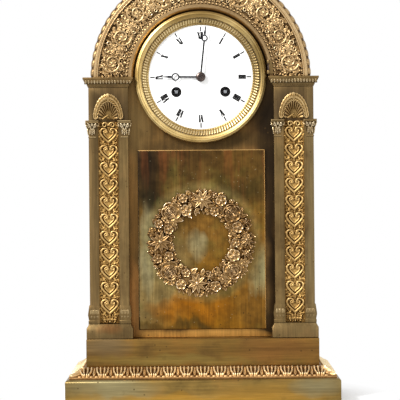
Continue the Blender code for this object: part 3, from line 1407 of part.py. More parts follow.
def make_bell():
    rim = BELL_MOUTH
    crown = BELL_MOUTH - BELL_DEPTH
    hole = 0.0015
    share = ((0.0, 1.0), (0.30, 0.97), (0.64, 0.81), (0.88, 0.48), (1.0, 0.0))
    outer = [(max(hole, BELL_RADIUS * r), rim - BELL_DEPTH * z) for r, z in share]
    inner = [
        (max(hole, (BELL_RADIUS - BELL_WALL) * r), rim - (BELL_DEPTH - BELL_WALL) * z) for r, z in share
    ]
    add("bell", turned(outer + inner[::-1], 18, closed=True), BELL_METAL, DIAL, (*BELL_AT, 0))

    foot = BACK_PLATE_FRONT - PLATE_THICKNESS - SEAT_GAP
    arm = crown - 0.0040
    bar = tube([(*BELL_STAND_AT, foot), (*BELL_STAND_AT, arm),
    (*BELL_AT, arm)], STAND_RADIUS, resolution=1)
    collar = rod(0.0026, arm - STAND_RADIUS, crown - SEAT_GAP, 8, BELL_AT)
    neck = rod(hole - RUNNING_GAP, arm, crown + BELL_WALL + 0.0016, 8, BELL_AT)
    nut = rod(0.0026, crown + BELL_WALL + SEAT_GAP, crown + BELL_WALL + 0.0024, 6, BELL_AT)
    base = rod(0.0030, foot - 0.0016, foot, 8, BELL_STAND_AT)
    add_and_join("bell_stand", bar, STEEL, base, collar, neck, nut, parent=DIAL)


def make_hammer():
    turn = math.radians(HAMMER_HEAD_ANGLE)
    reach = BELL_RADIUS + HAMMER_HEAD_RADIUS + HAMMER_REST_GAP
    head_x = BELL_AT[0] + reach * math.cos(turn) - HAMMER_AT[0]
    head_y = BELL_AT[1] + reach * math.sin(turn) - HAMMER_AT[1]
    arm_layer = BACK_PLATE_FRONT - PLATE_THICKNESS - 0.0024
    body = turned(
        [
            (0, FRONT_PLATE_BACK + PLATE_THICKNESS - 0.0003),
            (PIVOT_RADIUS, FRONT_PLATE_BACK + PLATE_THICKNESS - 0.0003),
            (PIVOT_RADIUS, FRONT_PLATE_BACK - SEAT_GAP), (ARBOR_RADIUS, FRONT_PLATE_BACK - SEAT_GAP),
            (ARBOR_RADIUS, arm_layer - 0.0009), (0, arm_layer - 0.0009),
        ],
        8, closed=False,
    )
    length = math.hypot(head_x, head_y)
    arm = box(0, length, -0.0010, 0.0010, arm_layer - 0.0007, arm_layer + 0.0007)
    turned_along(arm, Matrix.Rotation(math.atan2(head_y, head_x), 4, "Z"))
    head = rod(HAMMER_HEAD_RADIUS, BELL_MOUTH - 0.0050, arm_layer + 0.0005, 10, (head_x, head_y))
    tail = box(0, 0.0080, -0.0008, 0.0008, PIN_LAYER - 0.0030, PIN_LAYER - 0.0014)
    turned_along(tail, Matrix.Rotation(toward(HAMMER_AT, PIN_WHEEL_AT), 4, "Z"))
    add_and_join("hammer", body, STEEL, arm, head, tail, parent=DIAL, at=(*HAMMER_AT, 0))


def merge_flat_faces():
    """Each flat face that the joins and cuts have split becomes one again."""
    for piece in PARTS.objects:
        if piece.modifiers:
            flatten = piece.modifiers.new("flatten", "DECIMATE")
            flatten.decimate_type = "DISSOLVE"
            flatten.angle_limit = math.radians(0.3)


make_base()
make_piers()
make_capitals()
make_heart_strips()
make_niche_heads()
both_sides("impost", impost, PLAIN_BRONZE)
make_front()
make_arch()
make_case()
make_dial_side()
make_hands()
make_plates()
make_going_train()
make_strike_train()
make_escapement()
make_bell()
make_hammer()
merge_flat_faces()
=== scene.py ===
# %% [markdown]
# A gilt bronze mantel clock, dressed for its photograph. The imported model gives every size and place.
# The carved parts are grown as reliefs: a pattern is drawn with soft strokes and beads on a sheet of
# heights, and the sheet is laid over the surface that carries it.

# %% Load the frame
import json
import math
import random

import bmesh
import bpy
import numpy as np
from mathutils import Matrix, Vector

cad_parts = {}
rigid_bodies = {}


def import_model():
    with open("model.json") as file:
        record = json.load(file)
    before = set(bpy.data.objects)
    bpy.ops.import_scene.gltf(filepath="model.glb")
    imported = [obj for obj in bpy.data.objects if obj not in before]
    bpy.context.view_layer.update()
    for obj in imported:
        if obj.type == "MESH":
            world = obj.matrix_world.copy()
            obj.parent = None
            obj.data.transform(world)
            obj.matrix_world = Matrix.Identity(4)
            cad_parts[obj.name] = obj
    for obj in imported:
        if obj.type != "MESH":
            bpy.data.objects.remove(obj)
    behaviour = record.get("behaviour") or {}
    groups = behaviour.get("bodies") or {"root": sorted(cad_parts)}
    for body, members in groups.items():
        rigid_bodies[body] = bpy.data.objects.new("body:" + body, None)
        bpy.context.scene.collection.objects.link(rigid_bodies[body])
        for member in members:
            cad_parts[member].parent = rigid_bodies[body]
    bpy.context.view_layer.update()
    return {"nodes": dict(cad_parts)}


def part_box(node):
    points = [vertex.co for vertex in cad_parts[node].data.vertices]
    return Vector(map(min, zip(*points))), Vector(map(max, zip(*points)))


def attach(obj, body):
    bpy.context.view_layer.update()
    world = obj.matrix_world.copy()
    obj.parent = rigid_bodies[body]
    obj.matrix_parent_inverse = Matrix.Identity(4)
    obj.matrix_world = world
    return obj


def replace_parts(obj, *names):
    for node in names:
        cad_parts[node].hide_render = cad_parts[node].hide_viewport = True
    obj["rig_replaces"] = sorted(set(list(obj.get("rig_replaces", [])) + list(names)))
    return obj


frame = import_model()
nodes = frame["nodes"]

# %% [markdown]
# Sizes that the reliefs share are read from the nodes' boxes, so that a piece stays where its node is.
# D is the height of the dial's centre.

# %% Places from the frame
low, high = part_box("archivolt")
D = low.z
ARCH_FACE = -low.y
PANEL_FACE = -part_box("front_panel")[0].y
print("dial centre", round(D, 4), "arch face", round(ARCH_FACE, 4))

# %% [markdown]
# Small helpers: a colour from its hex code, a shader node in one call, and a piece from arrays.

# %% Helpers


def colour(code):
    """Linear RGBA of an sRGB hex code."""
    values = [int(code[k:k + 2], 16) / 255 for k in (1, 3, 5)]
    return [c / 12.92 if c <= 0.04045 else ((c + 0.055) / 1.055) ** 2.4 for c in values] + [1.0]


trees = []


def link(output, socket):
    trees[-1].links.new(output, socket)


def node(kind, inputs=None, **settings):
    """Adds a shader node to the material in hand. An input is a value, or a socket to link from."""
    made = trees[-1].nodes.new(kind)
    for key, value in settings.items():
        setattr(made, key, value)
    for key, value in (inputs or {}).items():
        if isinstance(value, bpy.types.NodeSocket):
            link(value, made.inputs[key])
        else:
            made.inputs[key].default_value = value
    return made


def ramp(fac, stops):
    """A colour ramp from (place, hex code) stops."""
    made = node("ShaderNodeValToRGB", {"Fac": fac})
    elements = made.color_ramp.elements
    while len(elements) < len(stops):
        elements.new(0.5)
    for element, (place, code) in zip(elements, stops):
        element.position = place
        element.color = colour(code)
    return made.outputs["Color"]


def mix(fac, a, b, blend="MIX"):
    """Mixes two colours, each a hex code or a socket."""
    pair = [colour(c) if isinstance(c, str) else c for c in (a, b)]
    made = node("ShaderNodeMix", {"Factor": fac}, data_type="RGBA", blend_type=blend)
    for index, value in zip((6, 7), pair):
        if isinstance(value, bpy.types.NodeSocket):
            link(value, made.inputs[index])
        else:
            made.inputs[index].default_value = value
    return made.outputs[2]


def maths(operation, a, b=0.0, clamp=False):
    made = node("ShaderNodeMath", {0: a, 1: b}, operation=operation, use_clamp=clamp)
    return made.outputs[0]


def times(a, b, clamp=False):
    return maths("MULTIPLY", a, b, clamp)


def plus(a, b, clamp=False):
    return maths("ADD", a, b, clamp)


def minus(a, b, clamp=False):
    return maths("SUBTRACT", a, b, clamp)


def moved_by(vector, offset):
    return node("ShaderNodeMapping", {"Vector": vector, "Location": offset}).outputs[0]


def noise(vector, scale, detail=3.0, stretch=None, rough=0.5):
    """Noise over object coordinates, drawn out along an axis where stretch says so."""
    if stretch:
        vector = node("ShaderNodeMapping", {"Vector": vector, "Scale": stretch}).outputs["Vector"]
    inputs = {"Vector": vector, "Scale": scale, "Detail": detail, "Roughness": rough}
    return node("ShaderNodeTexNoise", inputs).outputs[0]


def distance(a, b=(0.0, 0.0, 0.0)):
    """How far a is from b."""
    return node("ShaderNodeVectorMath", {0: a, 1: b}, operation="DISTANCE").outputs["Value"]


def to_surface(shading):
    """Gives the material in hand another surface."""
    out = next(n for n in trees[-1].nodes if n.type == "OUTPUT_MATERIAL")
    link(shading, out.inputs["Surface"])


def bump(shader, height, strength, deep):
    """Gives the shader fine relief of a depth in metres."""
    made = node("ShaderNodeBump", {"Strength": strength, "Distance": deep, "Height": height})
    link(made.outputs[0], shader.inputs["Normal"])


def finish(shader, base, metal, rough):
    """Wires colour and roughness into the shader and sets how metallic it is."""
    link(base, shader.inputs["Base Color"])
    shader.inputs["Metallic"].default_value = metal
    link(rough, shader.inputs["Roughness"])


def material(name):
    """Takes a new material in hand, with its shader and object coordinates."""
    made = bpy.data.materials.new(name)
    made.use_nodes = True
    trees.append(made.node_tree)
    shader = made.node_tree.nodes["Principled BSDF"]
    return made, shader, node("ShaderNodeTexCoord").outputs["Object"]


print("helpers ready")

# %% [markdown]
# Finishes. Each metal is one recipe with its own colours: worn toning in patches, brushing along one
# direction, small stains and pits. Cast ornament carries an attribute, relief, that runs from 0 in the
# ground to 1 on the crests, so that dirt and painted shade sit in the hollows and the gilding, with a
# painted highlight, shines on the high points.

# %% Plain toned metal


def tones(codes, *places):
    """Stops for a ramp from colours in a row and their places."""
    return list(zip(places or (0.02, 0.25, 0.5, 0.8, 1.0), codes.split()))


def pits(place, scale, reach, seed):
    """1 in small scattered spots, 0 elsewhere."""
    moved = moved_by(place, (seed, seed * 0.7, seed * 1.3))
    cells = node("ShaderNodeTexVoronoi", {"Vector": moved, "Scale": scale, "Randomness": 1.0})
    sharp = times(minus(reach, cells.outputs["Distance"]), 14.0, clamp=True)
    some = maths("GREATER_THAN", noise(place, scale * 0.37), 0.53)
    return times(sharp, some)


def soft_spot(side, up, at, size):
    """1 at a place on the front, falling to 0 at its size away."""
    dx = maths("DIVIDE", minus(side, at[0]), size[0])
    dz = maths("DIVIDE", minus(up, at[1]), size[1])
    square = plus(times(dx, dx), times(dz, dz))
    return minus(1.0, square, clamp=True)


def clouded(side, up, base, tints):
    """Lays soft clouds of tone over the base: each has a place, a size and a colour."""
    for at, size, code in tints:
        base = mix(soft_spot(side, up, at, size), base, code)
    return base


def tinted(place, base, tints):
    """Clouds of tone whose edges wander by about a centimetre."""
    wander = times(minus(noise(place, 28.0, 4.0), 0.5), 0.024)
    parts = node("ShaderNodeSeparateXYZ", {"Vector": place}).outputs
    return clouded(plus(parts["X"], wander), plus(parts["Z"], wander), base, tints)


STAIN = "#3b2a10"


def toned(name, stops, brushed, rough=0.36, seed=0.0, tints=()):
    """Brushed and toned sheet or cast metal; brushed gives the stretch of the brush lines."""
    made, shader, place = material(name)
    moved = moved_by(place, (seed, seed, seed))
    patches = noise(moved, 19.0, 5.0, rough=0.6)
    base = tinted(place, ramp(patches, stops), tints)
    lines = noise(moved, 900.0, 2.0, brushed, 0.7)
    broad = noise(moved, 160.0, 3.0, brushed, 0.6)
    both = plus(times(lines, 0.5), times(broad, 0.5))
    shade = ramp(both, [(0.30, "#5a5a5a"), (0.50, "#bdbdbd"), (0.68, "#ffffff")])
    base = mix(0.55, base, shade, "MULTIPLY")
    clouds = times(noise(moved, 55.0, 4.0), 0.9, clamp=True)
    base = mix(times(maths("GREATER_THAN", clouds, 0.60), 0.12), base, STAIN)
    spots = pits(moved, 150.0, 0.15, seed)
    base = mix(times(spots, 0.7), base, STAIN)
    uneven = plus(times(both, 0.22), rough - 0.10)
    finish(shader, base, 0.85, plus(uneven, times(spots, 0.3)))
    bump(shader, minus(both, times(spots, 0.8)), 0.35, 0.00012)
    return made


UPRIGHT = (1.0, 1.0, 0.035)
ACROSS = (0.035, 1.0, 1.0)
SLOW_AT, FAST_AT = (0.30, 0.42, 0.52, 0.62, 0.74), (0.30, 0.40, 0.50, 0.60, 0.72)
OLIVE = tones("#49371f #67512f #79623b #866a40 #5c4728", *SLOW_AT)
GOLDEN = tones("#5a4420 #7a6231 #8f7239 #9a763a #6f5428", *FAST_AT)
DEEPER = tones("#4e381a #6b5026 #7e5f2b #88622b #5f4520", *FAST_AT)
WARM = tones("#42311a #624925 #7c5c30 #8a6334 #543e20", *SLOW_AT)
# The colour of the painted shadow on the front wall.
PAINTED_SHADOW = "#261a0a"

# Clouds of tone on the front: x and z of the middle, half width and half height, colour.
# On the wall, the dark clouds right of and below the bezel and along the right of the panel are painted
# shadow of the bezel and the panel. The bright orange strip under the panel is painted light.
WALL_TONES_AND_PAINTED_LIGHT = [
    ((0.062, 0.262), (0.026, 0.050), PAINTED_SHADOW), ((0.066, 0.215), (0.016, 0.060), PAINTED_SHADOW),
    ((0.066, 0.140), (0.010, 0.110), "#2b1d0c"), ((0.000, 0.058), (0.110, 0.0120), "#f0b25a"),
    ((-0.062, 0.150), (0.007, 0.090), "#7d5a2c"), ((-0.063, 0.090), (0.008, 0.050), "#a8743c"),
    ((-0.060, 0.262), (0.016, 0.040), "#7c6238"), ((0.030, 0.242), (0.040, 0.012), "#4a3719"),
]
PIER_TINTS = [
    ((-0.086, 0.272), (0.030, 0.026), "#473620"), ((0.086, 0.272), (0.030, 0.026), "#53412a"),
    ((-0.102, 0.170), (0.012, 0.130), "#66512f"), ((0.104, 0.170), (0.010, 0.130), "#84704a"),
    ((-0.088, 0.066), (0.014, 0.006), "#75512a"),
]
LOWER_TINTS = [
    ((-0.085, 0.016), (0.050, 0.016), "#93865e"), ((0.060, 0.008), (0.070, 0.014), "#a07a34"),
    ((0.000, 0.004), (0.140, 0.006), "#9c752c"), ((0.105, 0.018), (0.028, 0.010), "#8f815a"),
]
UPPER_TINTS = [
    ((-0.030, 0.040), (0.090, 0.006), "#8a7036"), ((0.070, 0.050), (0.045, 0.014), "#8a5f2c"),
    ((-0.090, 0.052), (0.030, 0.012), "#7a6340"),
]
toned_pier = toned("toned_bronze_upright_brushed", OLIVE, UPRIGHT, seed=0.3, tints=PIER_TINTS)
wall_toning_and_painted_shadow = toned("toned_bronze_front_wall_painted_shadow", WARM, UPRIGHT, seed=5.2, tints=WALL_TONES_AND_PAINTED_LIGHT)
toned_plinth = toned("toned_bronze_lower_plinth", GOLDEN, ACROSS, seed=1.7, tints=LOWER_TINTS)
toned_step = toned("toned_bronze_upper_plinth", DEEPER, ACROSS, seed=7.1, tints=UPPER_TINTS)
toned_case = toned("toned_bronze_case_sides", OLIVE, (1.0, 0.05, 0.05), seed=2.9, rough=0.42)

# %% [markdown]
# The panel's toning is its own: dark above and on the left, orange gold to the right and below, a grey
# green cloud at the lower left and a pale round mark inside the wreath. It is built from the height and
# the side position, bent by slow noise. Its right and top edges are painted light, as lit edges, and its
# left edge is painted shadow.

# %% Panel patina
PANEL_TINTS = [
    ((0.020, 0.105), (0.075, 0.085), "#94681f"), ((0.048, 0.130), (0.030, 0.070), "#926522"),
    ((-0.045, 0.110), (0.040, 0.060), "#9c8450"), ((0.0, 0.245), (0.110, 0.050), "#523917"),
    ((-0.050, 0.215), (0.022, 0.060), "#33240f"), ((0.030, 0.215), (0.026, 0.040), "#6a4d1e"),
    ((0.002, 0.070), (0.060, 0.022), "#94620f"), ((0.0, 0.150), (0.026, 0.026), "#8d6427"),
    ((-0.010, 0.138), (0.013, 0.015), "#a39468"), ((-0.052, 0.140), (0.012, 0.050), "#a59c74"),
    ((0.054, 0.118), (0.012, 0.024), "#a09668"), ((-0.046, 0.186), (0.022, 0.014), "#2c240e"),
    ((0.034, 0.190), (0.030, 0.014), "#4c3c16"), ((-0.012, 0.086), (0.046, 0.014), "#a9690e"),
    ((0.000, 0.068), (0.080, 0.006), "#664a16"),
]
WREATH_MIDDLE = (0.0, -PANEL_FACE, 0.148)
HALO_RADIUS = 0.051
RIGHT_EDGE, TOP_EDGE, LEFT_EDGE = 0.0583, 0.2328, -0.0580


def panel_toning_and_edge_light():
    made, shader, place = material("front_panel_toning_and_painted_edge_light")
    slow = noise(place, 22.0, 4.0, (1.0, 1.0, 0.4), 0.6)
    bend = times(minus(slow, 0.5), 0.05)
    parts = node("ShaderNodeSeparateXYZ", {"Vector": place}).outputs
    side = plus(parts["X"], bend)
    up = plus(parts["Z"], times(bend, 1.4))
    base = clouded(side, up, "#705424", PANEL_TINTS)
    off_halo = maths("ABSOLUTE", minus(distance(place, WREATH_MIDDLE), HALO_RADIUS))
    halo = minus(1.0, times(off_halo, 140.0), clamp=True)
    base = mix(times(halo, 0.45), base, "#a8955a")
    streaks = noise(place, 120.0, 4.0, (1, 1, 0.09))
    red = times(minus(streaks, 0.50), 5.0, clamp=True)
    high_up = times(minus(parts["Z"], 0.150), 12.0, clamp=True)
    base = mix(times(times(red, high_up), 0.55), base, "#8a4a24")
    green = times(minus(noise(place, 48.0, 5.0), 0.54), 6.0, clamp=True)
    base = mix(times(green, 0.35), base, "#6d6a2e")
    lines = noise(place, 700.0, 2.0, UPRIGHT, 0.7)
    broad = noise(place, 90.0, 4.0, UPRIGHT, 0.6)
    both = plus(times(lines, 0.45), times(broad, 0.55))
    shade = ramp(both, [(0.30, "#4e4a44"), (0.48, "#c4bfb4"), (0.66, "#ffffff")])
    base = mix(0.65, base, shade, "MULTIPLY")
    cloud = noise(place, 130.0, 5.0)
    base = mix(0.35, base, ramp(cloud, [(0.36, "#6e6a5e"), (0.60, "#ffffff")]), "MULTIPLY")
    base = mix(times(pits(place, 240.0, 0.17, 0.4), 0.75), base, "#2b1e0b")
    # Painted light: the panel's right and top edges are painted bright as lit edges, and its left edge is
    # painted dark as a shadow.
    lit_right_edge = maths("GREATER_THAN", parts["X"], RIGHT_EDGE)
    at_top = maths("GREATER_THAN", parts["Z"], TOP_EDGE)
    base = mix(times(maths("MAXIMUM", lit_right_edge, at_top), 0.65), base, "#d2a868")
    shadowed_left_edge = maths("LESS_THAN", parts["X"], LEFT_EDGE)
    base = mix(times(shadowed_left_edge, 0.75), base, "#1f1508")
    base = mix(times(pits(place, 300.0, 0.12, 3.1), 0.5), base, "#c2b48a")
    finish(shader, base, 0.85, plus(times(cloud, 0.3), 0.20))
    bump(shader, both, 0.3, 0.00012)
    return made


panel_metal = panel_toning_and_edge_light()
print("panel patina with", len(PANEL_TINTS), "clouds")

# %% [markdown]
# Gilding. Cast ornament takes its tone from the relief attribute, with painted shade where other metal
# shelters it. Turned rings have fine circles round the dial's centre instead.

# %% Cast and burnished gilding


SOFT_SHADE, DEEP_SHADE = ("#8a7a60", "#e6dece"), ("#6e5d44", "#dad0bc")


def cast_gilt(name, stops, rough=(0.54, 0.34), seed=0.0, shade=SOFT_SHADE, tints=()):
    """Cast and chased ornament: dirt and painted shade low in the relief, gilding and painted highlight on
    its crests.

    rough runs from the ground to the crests, and shade holds the two tones of the painted shade where other
    metal is near."""
    made, shader, place = material(name)
    relief = node("ShaderNodeAttribute", attribute_name="relief").outputs["Fac"]
    moved = moved_by(place, (seed, seed, seed))
    uneven = times(minus(noise(moved, 420.0, 4.0), 0.5), 0.35)
    # The ramp over the relief darkens the ground and brightens the crests: dirt and gilding, with painted
    # shade and painted highlight.
    level = plus(relief, uneven, clamp=True)
    base = ramp(level, stops)
    if tints:
        base = mix(0.6, base, tinted(place, base, tints))
    patches = noise(moved, 26.0, 4.0)
    base = mix(0.5, base, ramp(patches, [(0.34, "#a08a6a"), (0.62, "#ffffff")]), "MULTIPLY")
    spots = pits(moved, 330.0, 0.15, seed)
    base = mix(times(spots, 0.6), base, "#3a2610")
    # Ambient occlusion darkens the colour where other metal is close: painted shade.
    shelter = node("ShaderNodeAmbientOcclusion", {"Distance": 0.004}, samples=6).outputs["AO"]
    painted_shade_tone = ramp(shelter, [(0.10, shade[0]), (0.50, shade[1]), (0.80, "#ffffff")])
    base = mix(1.0, base, painted_shade_tone, "MULTIPLY")
    finish(shader, base, 1.0, plus(times(level, rough[1] - rough[0]), rough[0]))
    bump(shader, noise(moved, 1500.0, 3.0), 0.5, 0.00006)
    return made


arch_gilt = cast_gilt("cast_gilt_arch_frieze", [
    (0.02, "#58432a"), (0.20, "#775e3c"), (0.42, "#937850"), (0.68, "#ad9168"),
    (0.88, "#c6ab80"), (1.0, "#dcc69c"),
])
strip_gilt = cast_gilt(
    "cast_gilt_heart_strips",
    tones("#765a31 #8f7040 #a3834c #b89860 #cfb27a"), seed=0.8,
    rough=(0.58, 0.44), shade=("#a08e6c", "#efe7d8"),
)
wreath_gilt = cast_gilt(
    "cast_gilt_wreath",
    [
        (0.02, "#4b361c"), (0.25, "#6b502c"), (0.5, "#866941"), (0.75, "#a98b62"), (0.92, "#d3b78f"),
        (1.0, "#f6e4c4"),
    ],
    rough=(0.50, 0.32), seed=1.9, shade=DEEP_SHADE,
)
moulding_gilt = cast_gilt(
    "cast_gilt_base_leaves",
    tones("#83603a #ab8658 #cba775 #e6c692 #f6e2b8"),
    rough=(0.62, 0.48), seed=2.6,
)
capital_bronze = cast_gilt(
    "toned_cast_capitals",
    tones("#54452c #7d6a48 #a38d66 #c8b48c #e8d8b6"), seed=3.3,
)


def burnished(name, stops, rough, seed=0.0, tints=()):
    """Turned and burnished metal, with faint rings round the dial's centre where it was turned."""
    made, shader, place = material(name)
    parts = node("ShaderNodeSeparateXYZ", {"Vector": moved_by(place, (0.0, 0.0, -D))}).outputs
    flat = node("ShaderNodeCombineXYZ", {"X": parts["X"], "Y": parts["Z"]}).outputs[0]
    reach = distance(flat)
    rings = noise(node("ShaderNodeCombineXYZ", {"X": reach}).outputs[0], 2600.0, 2.0)
    patches = noise(place, 34.0, 5.0)
    base = tinted(place, ramp(patches, stops), tints)
    spots = pits(place, 260.0, 0.12, seed)
    base = mix(times(spots, 0.5), base, stops[0][1])
    wear = times(noise(place, 90.0, 4.0), 0.16)
    finish(shader, base, 1.0, plus(wear, rough))
    bump(shader, rings, 0.25, 0.00005)
    return made


# The bezel's two clouds darken its right side and its top: painted shade.
bezel_gilt = burnished(
    "burnished_gilt_bezel",
    [(0.30, "#9a7f48"), (0.45, "#bb9f65"), (0.60, "#d0b67c"), (0.75, "#a78c54")], 0.36, tints=[
        ((0.072, D + 0.010), (0.042, 0.075), "#5d4a26"), ((0.0, D + 0.070), (0.060, 0.030), "#8a7142"),
    ],
)
niche_gilt = cast_gilt(
    "toned_gilt_niche_heads",
    tones("#32240f #5c4625 #786038 #987c50 #c0a677"),
    rough=(0.56, 0.42), seed=6.1,
)
# The ring's two clouds darken its right side and its top: painted shade.
ring_gilt = cast_gilt(
    "engine_turned_gilt_ring",
    tones("#957b46 #ad9258 #c2a86e #d4bb84 #e6d09e"), seed=4.4,
    tints=[((0.062, D + 0.012), (0.040, 0.070), "#5a4a22"), ((0.0, D + 0.062), (0.050, 0.024), "#8a7440")],
)

print("gilding ready")

# %% [markdown]
# The dial's enamel and paint, the steels, brass, bell metal, silk and glass are plain: one tone that
# varies slowly, with a fine grain.

# %% Enamel, steel, brass, silk and glass


def plain(name, stops, rough, metal=0.0, scale=60.0, grain=0.1, stretch=None, coat=0.0):
    """A material of one tone with slow and fine unevenness."""
    made, shader, place = material(name)
    slow = noise(place, scale, 4.0)
    fine = noise(place, scale * 18, 3.0, stretch)
    base = ramp(slow, [(0.30 + 0.4 * k / (len(stops) - 1), code) for k, code in enumerate(stops)])
    finish(shader, base, metal, plus(times(fine, 0.12), rough))
    shader.inputs["Coat Weight"].default_value = coat
    bump(shader, fine, grain, 0.00005)
    return made


enamel = plain("white_enamel_on_copper", ["#eeeeee", "#f6f6f5", "#fafafa"], 0.10, coat=0.6, grain=0.02)
enamel_print = plain("black_enamel_paint", ["#020203", "#050506", "#09090a"], 0.6)
blued_steel = plain("blued_steel_hands", ["#0b0b0e", "#121318", "#1b1c22"], 0.30, 0.8, stretch=(1, 1, 0.1))
steel = plain("polished_steel", ["#6f7073", "#9b9da1", "#c4c6ca"], 0.20, 0.95, stretch=(0.1, 1, 1))
brass = plain("turned_brass", ["#8d6a28", "#b8923f", "#d0ac5b"], 0.24, 0.95, stretch=(1, 0.08, 1), grain=0.3)
bell_metal = plain("cast_bell_metal", ["#7b6840", "#a8905a", "#c2ac78"], 0.26, 0.95)
silk = plain("twisted_silk", ["#b9a37c", "#cdb993", "#ddcdae"], 0.75, scale=300.0, grain=0.6)
hole_black = plain("winding_hole_shadow", ["#020202", "#040404", "#070707"], 0.6)
for dark in (enamel_print, hole_black):
    dark.node_tree.nodes["Principled BSDF"].inputs["Specular IOR Level"].default_value = 0.12
boss_steel = plain(
    "browned_steel_boss", ["#2a211e", "#453a36", "#6a5c55"], 0.25, 0.8, scale=240.0, grain=0.5,
)


def thin_glass():
    """Clear dial glass: mostly seen through, with a clean reflection at its edge and crown."""
    made, shader, place = material("dial_glass")
    made.node_tree.nodes.remove(shader)
    clear = node("ShaderNodeBsdfTransparent", {"Color": colour("#fdfdfd")}).outputs[0]
    rough = times(noise(place, 40.0, 3.0), 0.03)
    shine = node("ShaderNodeBsdfGlossy", {"Roughness": rough, "Color": colour("#ffffff")}).outputs[0]
    edge = node("ShaderNodeFresnel", {"IOR": 1.33}).outputs[0]
    amount = times(edge, 0.35)
    both = node("ShaderNodeMixShader", {0: amount, 1: clear, 2: shine}).outputs[0]
    to_surface(both)
    return made


glass = thin_glass()
print("materials:", sorted(m.name for m in bpy.data.materials if m.node_tree and len(m.node_tree.nodes) > 4))

# %% [markdown]
# Reliefs. A sheet holds heights over a rectangle, with u along it and v across it. Strokes, petals,
# leaves and beads are pressed into it one after another, and the highest wins, as chased work does.

# %% Sheets of heights


def sheet(length, width, step):
    nu, nv = round(length / step) + 1, round(width / step) + 1
    return {"u": np.linspace(0, length, nu), "v": np.linspace(0, width, nv), "h": np.zeros((nu, nv))}


def sheet_on(u, v):
    """A flat sheet on given lines, with its u and v as arrays."""
    return {"u": u, "v": v, "h": np.zeros((len(u), len(v)))}, *np.meshgrid(u, v, indexing="ij")


def polar(at, r, a):
    """The point at a distance r and an angle a from another."""
    return at[0] + r * math.cos(a), at[1] + r * math.sin(a)


def window(s, u0, u1, v0, v1):
    """The part of a sheet inside a rectangle: its place in the arrays and its u and v."""
    i0, i1 = np.searchsorted(s["u"], (u0, u1))
    j0, j1 = np.searchsorted(s["v"], (v0, v1))
    where = (slice(i0, i1), slice(j0, j1))
    u, v = np.meshgrid(s["u"][where[0]], s["v"][where[1]], indexing="ij")
    return where, u, v


def press(s, where, heights):
    s["h"][where] = np.maximum(s["h"][where], heights)


def stroke(s, points, width, height, lift=0.0):
    """A round backed stroke. width is its half width, or a pair from start to end."""
    w0, w1 = width if isinstance(width, tuple) else (width, width)
    count = len(points) - 1
    for k in range(count):
        (a, b), (c, d) = points[k], points[k + 1]
        wa, wb = w0 + (w1 - w0) * k / count, w0 + (w1 - w0) * (k + 1) / count
        most = max(wa, wb)
        where, u, v = window(s, min(a, c) - most, max(a, c) + most, min(b, d) - most, max(b, d) + most)
        du, dv = c - a, d - b
        t = np.clip(((u - a) * du + (v - b) * dv) / (du * du + dv * dv + 1e-15), 0, 1)
        far = np.hypot(u - a - t * du, v - b - t * dv) / (wa + (wb - wa) * t)
        round_back = np.sqrt(np.clip(1 - far * far, 0, 1))
        press(s, where, np.where(far < 1, lift + height * round_back, 0))


def turned_to(u, v, at, angle):
    c, n = math.cos(angle), math.sin(angle)
    return (u - at[0]) * c + (v - at[1]) * n, -(u - at[0]) * n + (v - at[1]) * c


def oval(s, at, along, across, angle, height, lift=0.0, cup=0.0):
    """A dome, or with cup a petal whose rim stands above its middle."""
    most = max(along, across)
    where, u, v = window(s, at[0] - most, at[0] + most, at[1] - most, at[1] + most)
    p, q = turned_to(u, v, at, angle)
    far = (p / along) ** 2 + (q / across) ** 2
    dome = np.sqrt(np.clip(1 - far, 0, 1))
    body = dome * (1 - cup) + cup * np.clip(1.6 * far * np.clip((1 - far) * 4, 0, 1), 0, 1)
    press(s, where, np.where(far < 1, lift + height * body, 0))


def leaf(s, at, angle, length, width, height, lift=0.0, lobes=0, vein=0.4):
    """A pointed leaf from its foot, lobed if asked, with a sunk middle vein."""
    where, u, v = window(s, at[0] - length, at[0] + length, at[1] - length, at[1] + length)
    p, q = turned_to(u, v, at, angle)
    t = np.clip(p / length, 0, 1)
    half = width * np.sin(np.pi * t ** 0.8) ** 0.75 + 1e-9
    ribs = 0.0
    if lobes:
        wave = np.abs(np.cos(np.pi * lobes * t))
        half = half * (0.72 + 0.28 * wave)
        ribs = 0.25 * (wave - 0.5)
    far = np.abs(q) / half
    inside = (far < 1) & (p > 0) & (p < length)
    body = np.sqrt(np.clip(1 - far * far, 0, 1)) * (1 + ribs) - vein * np.exp(-((far / 0.22) ** 2))
    press(s, where, np.where(inside, lift + height * np.clip(body, 0.05, None), 0))


def blossom(s, at, radius, petals, turn, height, lift=0.0, cup=0.45):
    """A flower of petals round a seed head."""
    for k in range(petals):
        a = turn + 2 * math.pi * k / petals
        mid = polar(at, 0.60 * radius, a)
        oval(s, mid, radius * 0.45, radius * min(0.42, 1.9 / petals), a, height, lift, cup=cup)
    oval(s, at, radius * 0.27, radius * 0.27, 0, height * 0.9, lift + height * 0.35)


def scroll(at, radius, turns, start, hand, shrink=0.28, steps=26):
    """Points of a spiral that winds in to shrink of its radius."""
    points = []
    for k in range(steps + 1):
        t = k / steps
        r = radius * (1 - (1 - shrink) * t)
        a = start + hand * 2 * math.pi * turns * t
        points.append(polar(at, r, a))
    return points


# %% [markdown]
# A sheet is laid over a surface by a function from u, v and height to a place in space. The mesh is a
# bmesh grid, and its relief layer keeps each vertex's share of the full height for the finishes.

# %% Laying a sheet over a surface


def start():
    bm = bmesh.new()
    bm.verts.layers.float.new("relief")
    return bm


def blurred(h, cells):
    """Heights averaged over the cells on every side."""
    for axis in (0, 1):
        h = sum(np.roll(h, k, axis) for k in range(-cells, cells + 1)) / (2 * cells + 1)
    return h


